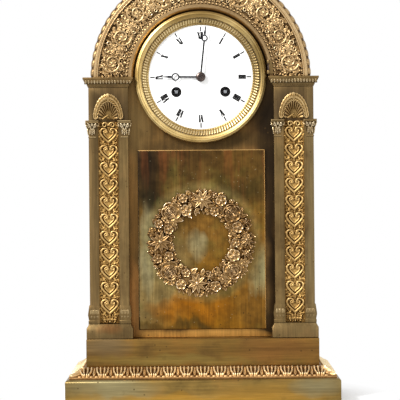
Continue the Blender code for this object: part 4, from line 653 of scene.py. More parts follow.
def lay(bm, s, place, full, trim=None, keep_below=0.0, crisp=1.5):
    """Adds the sheet to bm. trim drops what is lower than it, so that the outline is the ornament's.

    The relief layer takes the height and, by crisp, how far a point stands above what is round it."""
    nu, nv = s["h"].shape
    made = bmesh.ops.create_grid(bm, x_segments=nu - 1, y_segments=nv - 1, size=0.5)["verts"]
    u, v = np.meshgrid(s["u"], s["v"], indexing="ij")
    where = np.stack(place(u, v, s["h"]), -1)
    share = np.clip((s["h"] - keep_below) / full, 0, 1) * 0.62 + 0.16
    share = np.clip(share + crisp * (s["h"] - blurred(s["h"], 4)) / full, 0, 1)
    relief = bm.verts.layers.float["relief"]
    gone = []
    for vert in made:
        i, j = round((vert.co.x + 0.5) * (nu - 1)), round((vert.co.y + 0.5) * (nv - 1))
        vert.co = where[i, j]
        vert[relief] = share[i, j]
        if trim is not None and s["h"][i, j] <= trim:
            gone.append(vert)
    out = np.stack(place(u[:1, :1], v[:1, :1], s["h"][:1, :1] + 0.001), -1) - where[:1, :1]
    normal = np.cross(where[1, 0] - where[0, 0], where[0, 1] - where[0, 0])
    if normal @ out[0, 0] < 0:
        faces = list({face for vert in made for face in vert.link_faces})
        bmesh.ops.reverse_faces(bm, faces=faces)
    if gone:
        bmesh.ops.delete(bm, geom=gone, context="VERTS")


def soft(profile, radius, steps=3):
    """The profile with each corner between its two ends rounded off."""
    out = [profile[0]]
    for before, here, after in zip(profile, profile[1:], profile[2:]):
        ends = []
        for other in (before, after):
            far = math.dist(here, other)
            share = min(radius, far * 0.45) / far
            ends.append([h + (o - h) * share for h, o in zip(here, other)])
        for k in range(steps + 1):
            t = k / steps
            out.append(tuple(
                (1 - t) ** 2 * a + 2 * t * (1 - t) * h + t * t * b for a, h, b in zip(ends[0], here, ends[1])
            ))
    return out + [profile[-1]]


def merge(bm, part):
    """Adds a finished part to a larger bmesh; work on small meshes is quick."""
    mesh = bpy.data.meshes.new("part")
    part.to_mesh(mesh)
    part.free()
    bm.from_mesh(mesh)
    bpy.data.meshes.remove(mesh)


def skirt(bm, y, relief=None):
    """Carries a relief's open edge straight back to the depth y."""
    made = bmesh.ops.extrude_edge_only(bm, edges=[e for e in bm.edges if e.is_boundary])
    layer = bm.verts.layers.float["relief"]
    for vert in (g for g in made["geom"] if isinstance(g, bmesh.types.BMVert)):
        vert.co.y = y
        if relief is not None:
            vert[layer] = relief


def spun(bm, profile, steps, relief=0.7, angle=2 * math.pi, middle=None):
    """Spins (radius, proud) points about the dial's axis, from its right side over its top."""
    middle = middle or (0.0, D)
    part = start()
    made = [part.verts.new((middle[0] + r, -h, middle[1])) for r, h in profile]
    edges = [part.edges.new(pair) for pair in zip(made, made[1:])]
    centre = (middle[0], 0, middle[1])
    bmesh.ops.spin(part, geom=made + edges, cent=centre, axis=(0, -1, 0), angle=angle, steps=steps)
    bmesh.ops.remove_doubles(part, verts=part.verts[:], dist=1e-6)
    layer = part.verts.layers.float["relief"]
    for vert in part.verts:
        vert[layer] = relief
    bmesh.ops.recalc_face_normals(part, faces=part.faces[:])
    merge(bm, part)


def piece(name, bm, metal, slot, *instead_of, body="case", sharp=38):
    """A finished object: shaded, riding its body, standing for its CAD nodes. Its slot is not used."""
    mesh = bpy.data.meshes.new(name)
    bm.to_mesh(mesh)
    bm.free()
    mesh.shade_smooth()
    mesh.set_sharp_from_angle(angle=math.radians(sharp))
    obj = bpy.data.objects.new(name, mesh)
    bpy.context.scene.collection.objects.link(obj)
    mesh.materials.append(metal)
    if instead_of:
        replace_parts(obj, *instead_of)
    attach(obj, body)
    print(name, len(mesh.polygons), "faces")


def ring_place(r, h):
    """Places u as an angle and v as a distance from radius r, at the proud height h."""
    return lambda u, v, lift: ((r + v) * np.cos(u), -(h + lift), D + (r + v) * np.sin(u))


print("sheets and turned work ready")

# %% [markdown]
# The arch over the dial. Its smooth parts are spun: the cove beside the bezel and the plain band with
# its fine double line. Between them lies the frieze, a sheet of scrolls, rosettes and lobed leaves,
# drawn for one half and mirrored at the top. Pearls run along its inner edge and a scalloped row of
# leaves along its outer one.

# %% Arch
FRIEZE_IN, FRIEZE_OUT, FRIEZE_GROUND = 0.0700, 0.0942, ARCH_FACE - 0.0026
MIDDLE_R = (FRIEZE_IN + FRIEZE_OUT) / 2


def acanthus(s, at, angle, size, height, lift=0.0):
    """A spray of five lobed leaves."""
    for turn, share in ((-1.15, 0.62), (1.15, 0.62), (-0.55, 0.85), (0.55, 0.85), (0.0, 1.0)):
        leaf(s, at, angle + turn, size * share, size * 0.20, height, lift, lobes=3)


def frieze_half():
    """One half of the frieze, from the foot of the arch to its top."""
    length = math.pi / 2 * MIDDLE_R
    wide = FRIEZE_OUT - FRIEZE_IN
    s = sheet(length, wide, 0.00030)
    mid = wide / 2
    count = 5
    pitch = length / count
    s["h"] += 0.0001
    rng = random.Random(7)
    for _ in range(900):
        at = (rng.uniform(0, length), rng.uniform(0.0006, wide - 0.0006))
        turn, long, half = rng.uniform(0, 6.28), rng.uniform(0.0026, 0.0050), rng.uniform(0.0008, 0.0012)
        leaf(s, at, turn, long, half, 0.0010, 0.0005, lobes=rng.choice((0, 2)))
    for k in range(count):
        hand = 1 if k % 2 == 0 else -1
        centre = ((k + 0.5) * pitch, mid + 0.0008 * hand)
        size = wide * 0.37
        for j in range(11):
            a = 2 * math.pi * j / 11 + k
            foot = polar(centre, size * 0.62, a)
            leaf(s, foot, a + 0.7 * hand, size * 0.66, 0.0015, 0.0012, 0.0008, lobes=3)
        stem = scroll(centre, size, 1.35, math.pi * (0.5 if hand > 0 else 1.5) + 0.4, hand, 0.30, 34)
        stroke(s, stem, (0.0012, 0.0007), 0.0012, 0.0010)
        for j in range(7):
            a = math.pi * 2 * j / 7
            foot = polar(centre, size * 0.98, a)
            for lean in (-0.8, 0.0, 0.8):
                leaf(s, foot, a + 0.9 * hand + lean, 0.0044, 0.0010, 0.0011, 0.0008, lobes=2)
        blossom(s, centre, size * 0.48, 6, k * 0.4, 0.0012, 0.0010)
        for up in (-1, 1):
            acanthus(s, ((k + 1) * pitch, mid + up * 0.0012), up * math.pi / 2, wide * 0.36, 0.0013, 0.0009)
            for lean in (-1, 1):
                eye = ((k + 1) * pitch + lean * 0.0028, mid + up * wide * 0.33)
                curl = scroll(eye, 0.0024, 1.0, -up * math.pi / 2, up * lean, 0.3, 16)
                stroke(s, curl, (0.0008, 0.0006), 0.0010, 0.0012)
        oval(s, ((k + 1) * pitch, mid), 0.0017, 0.0017, 0, 0.0010, 0.0014)
    return s


half = frieze_half()
heights = np.concatenate([half["h"], half["h"][-2::-1]], axis=0)
both_halves = {"u": np.linspace(0, math.pi, heights.shape[0]), "v": half["v"], "h": heights}
bm = start()
lay(bm, both_halves, ring_place(FRIEZE_IN, FRIEZE_GROUND), full=0.0030)
spun(bm, soft([
    (0.0617, 0.0317), (0.0618, 0.0366), (0.0627, 0.0385), (0.0642, 0.0402), (0.0660, 0.0413),
    (0.0668, ARCH_FACE - 0.0009), (0.0672, FRIEZE_GROUND + 0.0002), (FRIEZE_IN + 0.0001, FRIEZE_GROUND),
], 0.0005), 200, 0.72, math.pi)
spun(bm, soft([
    (FRIEZE_OUT - 0.0001, FRIEZE_GROUND), (0.0944, FRIEZE_GROUND + 0.0016), (0.0948, ARCH_FACE),
    (0.0956, ARCH_FACE), (0.0958, ARCH_FACE - 0.0005), (0.0961, ARCH_FACE - 0.0005),
    (0.0963, ARCH_FACE), (0.0982, ARCH_FACE), (0.0990, ARCH_FACE - 0.0008), (0.0991, ARCH_FACE - 0.0016),
], 0.0002), 220, 0.78, math.pi)
PEARLS, PEARL_R, PEARLS_AT = 62, 0.00115, 0.0686
pearls = start()
layer = pearls.verts.layers.float["relief"]
for k in range(PEARLS):
    a = math.pi * (k + 0.5) / PEARLS
    pearl = bmesh.ops.create_icosphere(pearls, subdivisions=2, radius=PEARL_R)["verts"]
    for vert in pearl:
        vert[layer] = 0.25 + 0.55 * max(0.0, -vert.co.y / PEARL_R)
    at = (PEARLS_AT * math.cos(a), -(FRIEZE_GROUND + 0.0008), D + PEARLS_AT * math.sin(a))
    bmesh.ops.translate(pearls, verts=pearl, vec=at)
merge(bm, pearls)
LEAVES = 37
edge, turn, across = sheet_on(np.linspace(0, math.pi, LEAVES * 26 + 1), np.linspace(0, 1, 22))
phase = (turn / math.pi * LEAVES) % 1.0
tip = np.abs(phase - 0.5) * 2
lobe = np.sqrt(np.clip(1 - (tip / 0.74) ** 2, 0, 1)) * np.clip(1.15 - 0.25 * np.cos(across * 3), 0, 1)
ribs = 0.18 * np.cos(phase * 5 * 2 * math.pi) * (tip < 0.8)
swell = np.sin(np.pi * np.clip(across * 0.9 + 0.08, 0, 1)) ** 0.6
edge["h"] = np.clip(lobe * (0.72 + ribs * across) * swell, 0, None) * 0.0015


def leaf_edge(u, v, h):
    fall = v ** 1.5
    r = 0.0991 + 0.0026 * np.sin(v * math.pi / 2) + h * np.sin(v * math.pi / 2) * 0.75
    proud = ARCH_FACE - 0.0016 - (ARCH_FACE - 0.0030 - 0.0340) * fall + h * np.cos(v * math.pi / 2) * 0.9
    return r * np.cos(u), -proud, D + r * np.sin(u)


lay(bm, edge, leaf_edge, full=0.0014)
spun(bm, [(0.1010, 0.0362), (0.1012, 0.0317), (0.0617, 0.0317)], 120, 0.1, math.pi)
piece("archivolt_frieze", bm, arch_gilt, "cast_gilt", "archivolt")

# %% [markdown]
# The heart strips. Each heart is two mirrored ribbons that leave the tie at its point, swell round and
# curl in at the top, over a little palmette. Small leaves fill the corners between the hearts.

# %% Heart strips


STRIP_WIDE = 0.0184
NICHE_R, NICHE_AXIS = 0.01137, 0.04857


HEARTS, HEART_TALL, FIRST_TIE, BOTH_ENDS = 11, 0.0158, 0.0148, 0.0275
RIBBON = [
    (0.0, 0.0), (0.0020, 0.0023), (0.0045, 0.0050), (0.0070, 0.0068), (0.0096, 0.0073),
    (0.0118, 0.0062), (0.0125, 0.0042), (0.0117, 0.0022), (0.0100, 0.0017), (0.0086, 0.0028),
    (0.0088, 0.0042), (0.0098, 0.0045),
]
CORNER_LEAVES = [
    (0.0008, 0.0058, 0.5, 0.0046), (-0.0014, 0.0062, -0.6, 0.0040), (-0.0002, 0.0040, 0.1, 0.0042),
    (0.0136, 0.0034, 0.9, 0.0032), (0.0030, 0.0074, 0.2, 0.0036), (-0.0020, 0.0036, 0.9, 0.0036),
    (-0.0026, 0.0066, 0.3, 0.0034),
]


def flowing(line):
    """The line with two more points in each span, on a smooth curve through them all."""
    fine = []
    for a, b, c, d in zip([line[0]] + line, line, line[1:], line[2:] + [line[-1]]):
        for t in (0.0, 0.33, 0.67):
            fine.append(tuple(
                0.5 * (
                    2 * q + (r - p) * t + (2 * p - 5 * q + 4 * r - w) * t * t
                    + (3 * q - p - 3 * r + w) * t ** 3
                )
                for p, q, r, w in zip(a, b, c, d)
            ))
    return fine


def heart(s, tie, mid, pitch):
    """One heart from its tie upwards, with its palmette and the leaves in its corners."""
    for side in (-1, 1):
        line = [(tie + u * pitch / HEART_TALL, mid + side * v) for u, v in RIBBON]
        fine = flowing(line)
        stroke(s, fine + [line[-1]], (0.0013, 0.0008), 0.0015, 0.0015)
        oval(s, (tie + 0.0082, mid + side * 0.0026), 0.0036, 0.0027, side * 0.5, 0.0009, 0.0012)
        inner = [(tie + 0.0078 + (u - tie - 0.0078) * 0.60, mid + (v - mid) * 0.60) for u, v in fine]
        stroke(s, inner, (0.0008, 0.0006), 0.0009, 0.0019)
        for u, v, turn, long in CORNER_LEAVES:
            leaf(s, (tie + u, mid + side * v), side * turn, long, 0.0011, 0.0012, 0.0010, lobes=2)
    for turn, long in ((-0.95, 0.0036), (0.95, 0.0036), (-0.48, 0.0048), (0.48, 0.0048), (0.0, 0.0055)):
        leaf(s, (tie + 0.0034, mid), turn, long, 0.0008, 0.0012, 0.0010, vein=0.2)
    oval(s, (tie + 0.0036, mid), 0.0011, 0.0009, 0, 0.0010, 0.0014)
    oval(s, (tie + 0.0002, mid), 0.0010, 0.0014, 0, 0.0010, 0.0022)
    leaf(s, (tie - 0.0006, mid), math.pi, 0.0028, 0.0010, 0.0011, 0.0012)


def heart_strip():
    low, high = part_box("right_heart_strip")
    wide, tall = STRIP_WIDE, high.z - low.z
    s = sheet(tall, wide, 0.00029)
    mid = wide / 2
    s["h"] += 0.0009
    for v in (0.0003, wide - 0.0003):
        stroke(s, [(0, v), (tall, v)], 0.0004, 0.0004, 0.0009)
    rng = random.Random(5)
    for _ in range(620):
        at = (rng.uniform(0, tall), rng.uniform(0.0012, wide - 0.0012))
        turn, long = rng.uniform(0, 6.28), rng.uniform(0.0022, 0.0040)
        leaf(s, at, turn, long, rng.uniform(0.0007, 0.0010), 0.0007, 0.0010)
    pitch = (tall - BOTH_ENDS) / (HEARTS - 1)
    for k in range(HEARTS):
        heart(s, FIRST_TIE + k * pitch - pitch * 0.36, mid, pitch)
    top = FIRST_TIE + (HEARTS - 1) * pitch + pitch * 0.50
    for side in (-1, 1):
        curl = scroll((top + 0.0020, mid + side * 0.0034), 0.0028, 1.1, -side * 1.6, side, 0.3, 20)
        stroke(s, curl, (0.0010, 0.0006), 0.0015, 0.0016)
        leaf(s, (top + 0.0010, mid + side * 0.0010), side * 0.5, 0.0065, 0.0013, 0.0012, 0.0013, lobes=2)
        leaf(s, (0.0006, mid + side * 0.0042), side * 0.25, 0.0072, 0.0016, 0.0013, 0.0012, lobes=3)
        leaf(s, (0.0004, mid + side * 0.0018), side * 0.12, 0.0082, 0.0014, 0.0013, 0.0013, lobes=3)
    leaf(s, (0.0004, mid), 0.0, 0.0092, 0.0014, 0.0014, 0.0014, lobes=3)
    return s


strip = heart_strip()
for side, name in ((-1, "left"), (1, "right")):
    low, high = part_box(f"{name}_heart_strip")
    bm = start()

    def on_strip(u, v, h):
        off = v - STRIP_WIDE / 2
        flat = -low.y - 0.0030
        niche = NICHE_AXIS - np.sqrt(NICHE_R ** 2 - off ** 2)
        face = np.maximum(flat, niche - 0.0006)
        return (low.x + high.x) / 2 + off, -(face + np.clip(h, 0, 0.0030)), low.z + u

    lay(bm, strip, on_strip, full=0.0040, keep_below=-0.0004)
    skirt(bm, high.y)
    piece(f"{name}_heart_strip_relief", bm, strip_gilt, "cast_gilt", f"{name}_heart_strip")

# %% [markdown]
# The wreath. Four big roses stand on the diagonals and between them crowd daisies, five petalled
# flowers, berries and leaves. The sheet is trimmed where nothing was pressed, so the outline is leafy.

# %% Wreath


def rose(s, at, radius, turn):
    """A full rose: a cup of outer petals and rings of inner ones that close towards its core."""
    oval(s, at, radius, radius * 0.96, turn, 0.0052, 0.0006)
    for k in range(5):
        a = turn + 2 * math.pi * k / 5
        mid = polar(at, radius * 0.60, a)
        oval(s, mid, radius * 0.42, radius * 0.56, a, 0.0022, 0.0034, cup=0.8)
    core = polar(at, radius * 0.10, turn)
    for ring in range(4):
        r = radius * (0.62 - 0.15 * ring)
        arcs = 5 - ring // 2
        for k in range(arcs):
            a0 = turn + ring * 0.7 + 2 * math.pi * k / arcs
            line = [polar(core, r * (1 - 0.10 * t), a0 + t * 1.9) for t in np.linspace(0, 1, 9)]
            stroke(s, line, (0.00055, 0.0004), 0.0012, 0.0046 + 0.0004 * ring)
    oval(s, core, radius * 0.10, radius * 0.10, 0, 0.0008, 0.0062)


def daisy(s, at, radius, petals, turn, lift):
    """A wide flower of pointed petals round a button."""
    for k in range(petals):
        leaf(s, at, turn + 2 * math.pi * k / petals, radius, radius * 0.23, 0.0019, lift, vein=0.45)
    oval(s, at, radius * 0.20, radius * 0.20, 0, 0.0017, lift + 0.0011)


def cup_flower(s, at, radius, turn, lift):
    """A round flower of five broad petals with raised rims."""
    oval(s, at, radius, radius, 0, 0.0014, lift)
    for k in range(5):
        a = turn + 2 * math.pi * k / 5
        mid = polar(at, 0.52 * radius, a)
        oval(s, mid, radius * 0.46, radius * 0.52, a, 0.0016, lift + 0.0008, cup=0.75)
    oval(s, at, radius * 0.20, radius * 0.20, 0, 0.0013, lift + 0.0018)


# The flowers that the photograph shows clearly: kind, angle in degrees, distance out and radius in mm.
BLOOMS = [
    ("rose", 134, 39.6, 9.4), ("rose", 43, 39.2, 8.9), ("rose", 222, 39.0, 9.4), ("rose", 317, 38.8, 9.0),
    ("daisy", 88, 39.2, 10.0), ("daisy", 179, 37.8, 10.4), ("daisy", 264, 38.2, 9.6),
    ("daisy", 3, 42.2, 7.0), ("cup", 115, 32.6, 5.8), ("cup", 338, 32.6, 6.4), ("cup", 64, 42.8, 5.6),
    ("cup", 244, 43.0, 5.4), ("cup", 22, 36.6, 5.6), ("cup", 203, 32.6, 4.8), ("cup", 158, 32.4, 5.0),
    ("cup", 288, 43.0, 5.4), ("daisy", 284, 32.4, 4.8), ("cup", 112, 44.0, 4.6),
    ("daisy", 346, 43.0, 5.4), ("cup", 156, 42.8, 4.4), ("cup", 200, 43.2, 4.8), ("cup", 66, 31.0, 4.6),
    ("cup", 243, 31.6, 4.4), ("daisy", 24, 45.4, 4.0),
]


def wreath_sheet():
    span = 0.1120
    s = sheet(span, span, 0.00034)
    mid = span / 2
    rng = random.Random(11)

    def at(r, a):
        return polar((mid, mid), r, a)

    for k in range(64):
        a = 2 * math.pi * (k + rng.uniform(-0.3, 0.3)) / 64
        lobes = rng.choice((0, 2))
        lean, long = rng.uniform(-0.6, 0.6), rng.uniform(0.0066, 0.0086)
        leaf(s, at(0.0430, a), a + lean, long, 0.0030, 0.0020, 0.0020, lobes)
    for k in range(50):
        a = 2 * math.pi * (k + rng.uniform(-0.3, 0.3)) / 50
        lean, long = rng.uniform(-0.6, 0.6), rng.uniform(0.0070, 0.0096)
        leaf(s, at(0.0340, a), a + math.pi + lean, long, 0.0028, 0.0019, 0.0018)
    for k in range(70):
        a = 2 * math.pi * k / 70
        leaf(s, at(0.0392, a), a + math.pi / 2, 0.0100, 0.0040, 0.0014, 0.0018)
    for k in range(420):
        a, r = rng.uniform(0, 2 * math.pi), rng.uniform(0.0300, 0.0450)
        lobes = rng.choice((0, 0, 3))
        turn, long = rng.uniform(0, 2 * math.pi), rng.uniform(0.005, 0.008)
        leaf(s, at(r, a), turn, long, 0.0027, 0.0018, rng.uniform(0.0020, 0.0032), lobes)
    taken = [(at(r / 1000, math.radians(a)), size / 1000) for _, a, r, size in BLOOMS]

    def free(place, size):
        return all(math.dist(place, other) > 0.84 * (size + reach) for other, reach in taken)

    flowers = len(taken)
    for size, tries in ((0.0044, 700), (0.0034, 900), (0.0024, 1000)):
        for _ in range(tries):
            a, r = rng.uniform(0, 2 * math.pi), rng.uniform(0.0262 + size, 0.0492 - size)
            place = at(r, a)
            if not free(place, size):
                continue
            taken.append((place, size))
            flowers += 1
            lift = 0.0030 + 0.0012 * (1 - abs(r - 0.038) / 0.012)
            turn = rng.uniform(0, 6.28)
            kind = rng.random()
            if size < 0.003 and kind < 0.5:
                for j in range(3):
                    oval(s, polar(place, 0.0013, turn + 2.1 * j), 0.0014, 0.0014, 0, 0.0017, lift)
            elif kind < 0.40:
                blossom(s, place, size * 1.1, 5, turn, 0.0018, lift, cup=0.2)
            elif kind < 0.65:
                cup_flower(s, place, size, turn, lift)
            else:
                for b in (-0.8, 0.8, 0.0):
                    leaf(s, place, turn + b, size * 1.6, size * 0.55, 0.0021, lift)
    for (kind, a, r, size), (place, radius) in zip(BLOOMS, taken):
        turn = math.radians(a) + 1.0
        lift = 0.0034 + 0.0010 * (1 - abs(r - 38) / 12)
        if kind == "rose":
            rose(s, place, radius, turn)
        elif kind == "daisy":
            daisy(s, place, radius, 9 if radius > 0.006 else 7, turn, lift)
        else:
            cup_flower(s, place, radius, turn, lift)
    print("wreath flowers", flowers)
    return s, mid


wreath_relief, mid = wreath_sheet()
low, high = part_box("wreath")
wreath_at = ((low.x + high.x) / 2, high.y, (low.z + high.z) / 2)
tallest = wreath_relief["h"].max()
fit = min(1.0, (high.y - low.y + 0.0006) / tallest)
OFF_MIDDLE = 0.0008


def on_panel(u, v, h):
    """Set a little left of and below its node's middle, as photographed."""
    x, z = wreath_at[0] - OFF_MIDDLE + u - mid, wreath_at[2] - OFF_MIDDLE + v - mid
    return x, wreath_at[1] - h * fit, z


bm = start()
lay(bm, wreath_relief, on_panel, full=0.0080, trim=0.0003, crisp=2.2)
skirt(bm, wreath_at[1], 0.0)
piece("wreath_of_roses", bm, wreath_gilt, "cast_gilt", "wreath", sharp=60)

# %% [markdown]
# The leaf moulding of the base is one sheet per side, cut off at the mitres. Fifteen leaves of four ribs
# stand on the front, a dart between each two, with a long leaf lying along each mitre.

# %% Base moulding
low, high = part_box("base_moulding")
section = [
    (0.0000, low.z), (0.0000, low.z + 0.0014), (0.0012, low.z + 0.0022), (0.0030, low.z + 0.0028),
    (0.0060, low.z + 0.0040), (0.0090, low.z + 0.0058), (0.0112, low.z + 0.0074), (0.0122, low.z + 0.0080),
    (0.0124, high.z - 0.0004), (0.0128, high.z), (0.0146, high.z),
]
reach = np.cumsum([0.0] + [math.dist(a, b) for a, b in zip(section, section[1:])])


def along_section(v, step=0.0004):
    """Inward run, height and outward normal of the moulding's section at a distance along it."""
    run, up = (np.interp(v, reach, [p[k] for p in section]) for k in (0, 1))
    d_run = np.interp(v + step, reach, [p[0] for p in section]) - run
    d_up = np.interp(v + step, reach, [p[1] for p in section]) - up
    size = np.hypot(d_run, d_up) + 1e-9
    return run, up, d_up / size, d_run / size


def leaf_row(length, count, pitch, both_corners):
    s = sheet(length, float(reach[-1]), 0.00033)
    foot, tip = 0.0030, float(reach[-2]) - 0.0022
    stroke(s, [(0, 0.0014), (length, 0.0014)], 0.0007, 0.0002)
    middle = length / 2
    for k in range(count):
        u = middle + (k - (count - 1) / 2) * pitch if both_corners else (k + 1.1) * pitch
        if u > length - pitch * (0.9 if both_corners else 0.2):
            continue
        for at_top, at_middle, at_foot in ((0.345, 0.320, 0.185), (0.125, 0.120, 0.070)):
            for side in (-1, 1):
                line = [
                    (u + side * at_top * pitch, tip + 0.0008), (u + side * at_middle * pitch, tip - 0.0045),
                    (u + side * at_foot * pitch, foot + 0.0008),
                ]
                stroke(s, line, (0.0011, 0.0010), 0.0026, 0.0001)
        for share in (-0.34, -0.11, 0.11, 0.34):
            oval(s, (u + share * pitch, foot - 0.0002), 0.0017, 0.0011, 0, 0.0006, 0.0003)
        between = u + pitch / 2
        leaf(s, (between, foot + 0.0002), math.pi / 2, tip - foot + 0.001, 0.0015, 0.0015, 0.0004, vein=0.4)
        for side in (-1, 1):
            oval(s, (between + side * 0.0016, tip - 0.0020), 0.0008, 0.0014, side * 0.4, 0.0006, 0.0002)
    return s


def corner_leaf(s, at_end):
    """The mitre's leaf, half of it on each side of the corner."""
    length = s["u"][-1]
    for out, height in ((0.0003, 0.0020), (0.0022, 0.0016), (0.0042, 0.0012)):
        line = []
        for v, swell in ((0.0032, 0.3), (0.0080, 1.0), (0.0140, 0.5)):
            run = float(along_section(v)[0]) + out * swell + 0.0003
            line.append((length - run if at_end else run, v))
        stroke(s, line, 0.0011, height, 0.0003)


PITCH = 0.01535
front_row = leaf_row(high.x - low.x, 15, PITCH, True)
corner_leaf(front_row, False)
corner_leaf(front_row, True)
side_row = leaf_row(high.y - low.y, 8, PITCH, False)
corner_leaf(side_row, False)
bm = start()


def front_place(u, v, h):
    run, up, out_flat, out_up = along_section(v)
    half = high.x - run
    x = u - (high.x - low.x) / 2
    h = np.where(np.abs(x) < half, h, 0.0)
    return np.clip(x, -half, half), low.y + run - h * out_flat, up + h * out_up


def side_place(sign):
    def place(u, v, h):
        run, up, out_flat, out_up = along_section(v)
        h = np.where(u > run, h, 0.0)
        return sign * (high.x - run + h * out_flat), low.y + np.maximum(u, run), up + h * out_up

    return place


lay(bm, front_row, front_place, full=0.0024)
for sign in (-1, 1):
    lay(bm, side_row, side_place(sign), full=0.0024)
bmesh.ops.remove_doubles(bm, verts=bm.verts[:], dist=1e-6)
layer = bm.verts.layers.float["relief"]
top_x, top_y, back_x = high.x - section[-1][0], low.y + section[-1][0], high.x - section[-3][0]
corners = [(-top_x, top_y), (top_x, top_y), (top_x, high.y), (-top_x, high.y)]
lid = [bm.verts.new((x, y, high.z)) for x, y in corners]
bm.faces.new(lid)
outer = [(-high.x, low.y), (high.x, low.y), (high.x, high.y), (-high.x, high.y)]
bm.faces.new([bm.verts.new((x, y, low.z)) for x, y in outer][::-1])
back = [(-high.x, low.z), (high.x, low.z), (back_x, high.z), (-back_x, high.z)]
bm.faces.new([bm.verts.new((x, high.y, z)) for x, z in back][::-1])
for vert in lid:
    vert[layer] = 0.5
piece("base_leaf_moulding", bm, moulding_gilt, "cast_gilt", "base_moulding", sharp=50)

# %% [markdown]
# Capitals. Each is a bell that swells from its pilaster to a square abacus. One sheet runs round its
# left side, front and right side, with two rows of leaves and a volute under each corner.

# %% Capitals


def wrapped(low, high, shape):
    """Places u round three sides of a block whose outward spread at height v is shape(v)."""
    depth, wide = high.y - low.y, high.x - low.x
    total = 2 * depth + wide

    def place(u, v, h):
        spread = shape(v)
        x0, x1 = low.x + spread, high.x - spread
        y0 = low.y + spread
        on_left, on_right = u < depth, u > depth + wide
        t = np.clip((u - depth) / wide, 0, 1)
        x = np.where(on_left, x0 - h, np.where(on_right, x1 + h, x0 + t * (x1 - x0)))
        forward = np.clip(np.where(on_left, u, total - u) / depth, 0, 1)
        y = np.where(on_left | on_right, high.y - forward * (high.y - y0), y0 - h)
        return x, y, low.z + v

    return place, total, depth, wide


def bell_shape(tall, reach_out, abacus):
    """Inward offset against the box at each height: wide at the abacus, waisted, a ring at the foot."""
    under, ring, neck = tall - abacus, reach_out - 0.0006, reach_out * 0.30
    stops = [0, 0.0011, 0.0014, 0.0024, tall * 0.55, under - 0.0006, under, under + 0.0003, tall]
    back = [ring, ring, reach_out, reach_out, reach_out * 0.72, neck, neck, 0.0003, 0.0003]
    return lambda v: np.interp(v, stops, back)


def capital(name):
    low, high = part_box(name)
    tall = high.z - low.z
    place, total, depth, wide = wrapped(low, high, bell_shape(tall, 0.0034, 0.0026))
    s = sheet(total, tall, 0.00030)
    s["h"] += 0.00005
    faces = [(depth - 0.0049, 0.0098), (depth + wide / 2, wide), (depth + wide + 0.0049, 0.0098)]
    for middle, breadth in faces:
        for k in (-0.30, 0.0, 0.30):
            leaf(s, (middle + k * breadth, 0.0024), math.pi / 2, 0.0062, 0.0016, 0.0010, 0.0003, lobes=3)
        for k in (-0.17, 0.17):
            leaf(s, (middle + k * breadth, 0.0050), math.pi / 2, 0.0066, 0.0015, 0.0010, 0.0002, lobes=2)
        for side in (-1, 1):
            eye = (middle + side * breadth * 0.335, tall - 0.0050)
            volute = scroll(eye, 0.0018, 1.1, math.pi / 2, side, 0.3, 18)
            stroke(s, volute, (0.0007, 0.0005), 0.0010, 0.0004)
            stem = [(middle + side * 0.0006, 0.0075), (middle + side * breadth * 0.30, tall - 0.0034)]
            stroke(s, stem, 0.0006, 0.0008, 0.0003)
        blossom(s, (middle, tall - 0.0040), 0.0017, 5, 0.3, 0.0008, 0.0004)
    for v in (tall - 0.0021, tall - 0.0006, 0.0008):
        stroke(s, [(0, v), (total, v)], 0.0005, 0.0003)
    limit = 0.0013
    s["h"] = np.minimum(s["h"], limit)
    bm = start()
    lay(bm, s, place, full=limit)
    lid = [(low.x, high.y), (high.x, high.y), (high.x, low.y), (low.x, low.y)]
    bm.faces.new([bm.verts.new((x, y, high.z - 0.00001)) for x, y in lid][::-1])
    x0, x1, y0 = low.x + 0.003, high.x - 0.003, low.y + 0.003
    under = [(x0, high.y), (x1, high.y), (x1, y0), (x0, y0)]
    bm.faces.new([bm.verts.new((x, y, low.z + 0.00001)) for x, y in under])
    piece(f"{name}_leaves", bm, capital_bronze, "toned_bronze", name, sharp=50)


for side in ("left", "right"):
    for which in ("outer", "inner"):
        capital(f"{side}_{which}_capital")

# %% [markdown]
# Niche heads: a little arch of overlapping laurel leaves and, inside it, a fluted shell that hollows
# back into the niche, with a small chevron of leaves where its ribs meet.

# %% Niche heads
BAND, BAND_SPAN, CHEVRON_HALF, FLUTES = 0.0052, 0.0056, 0.007, 13


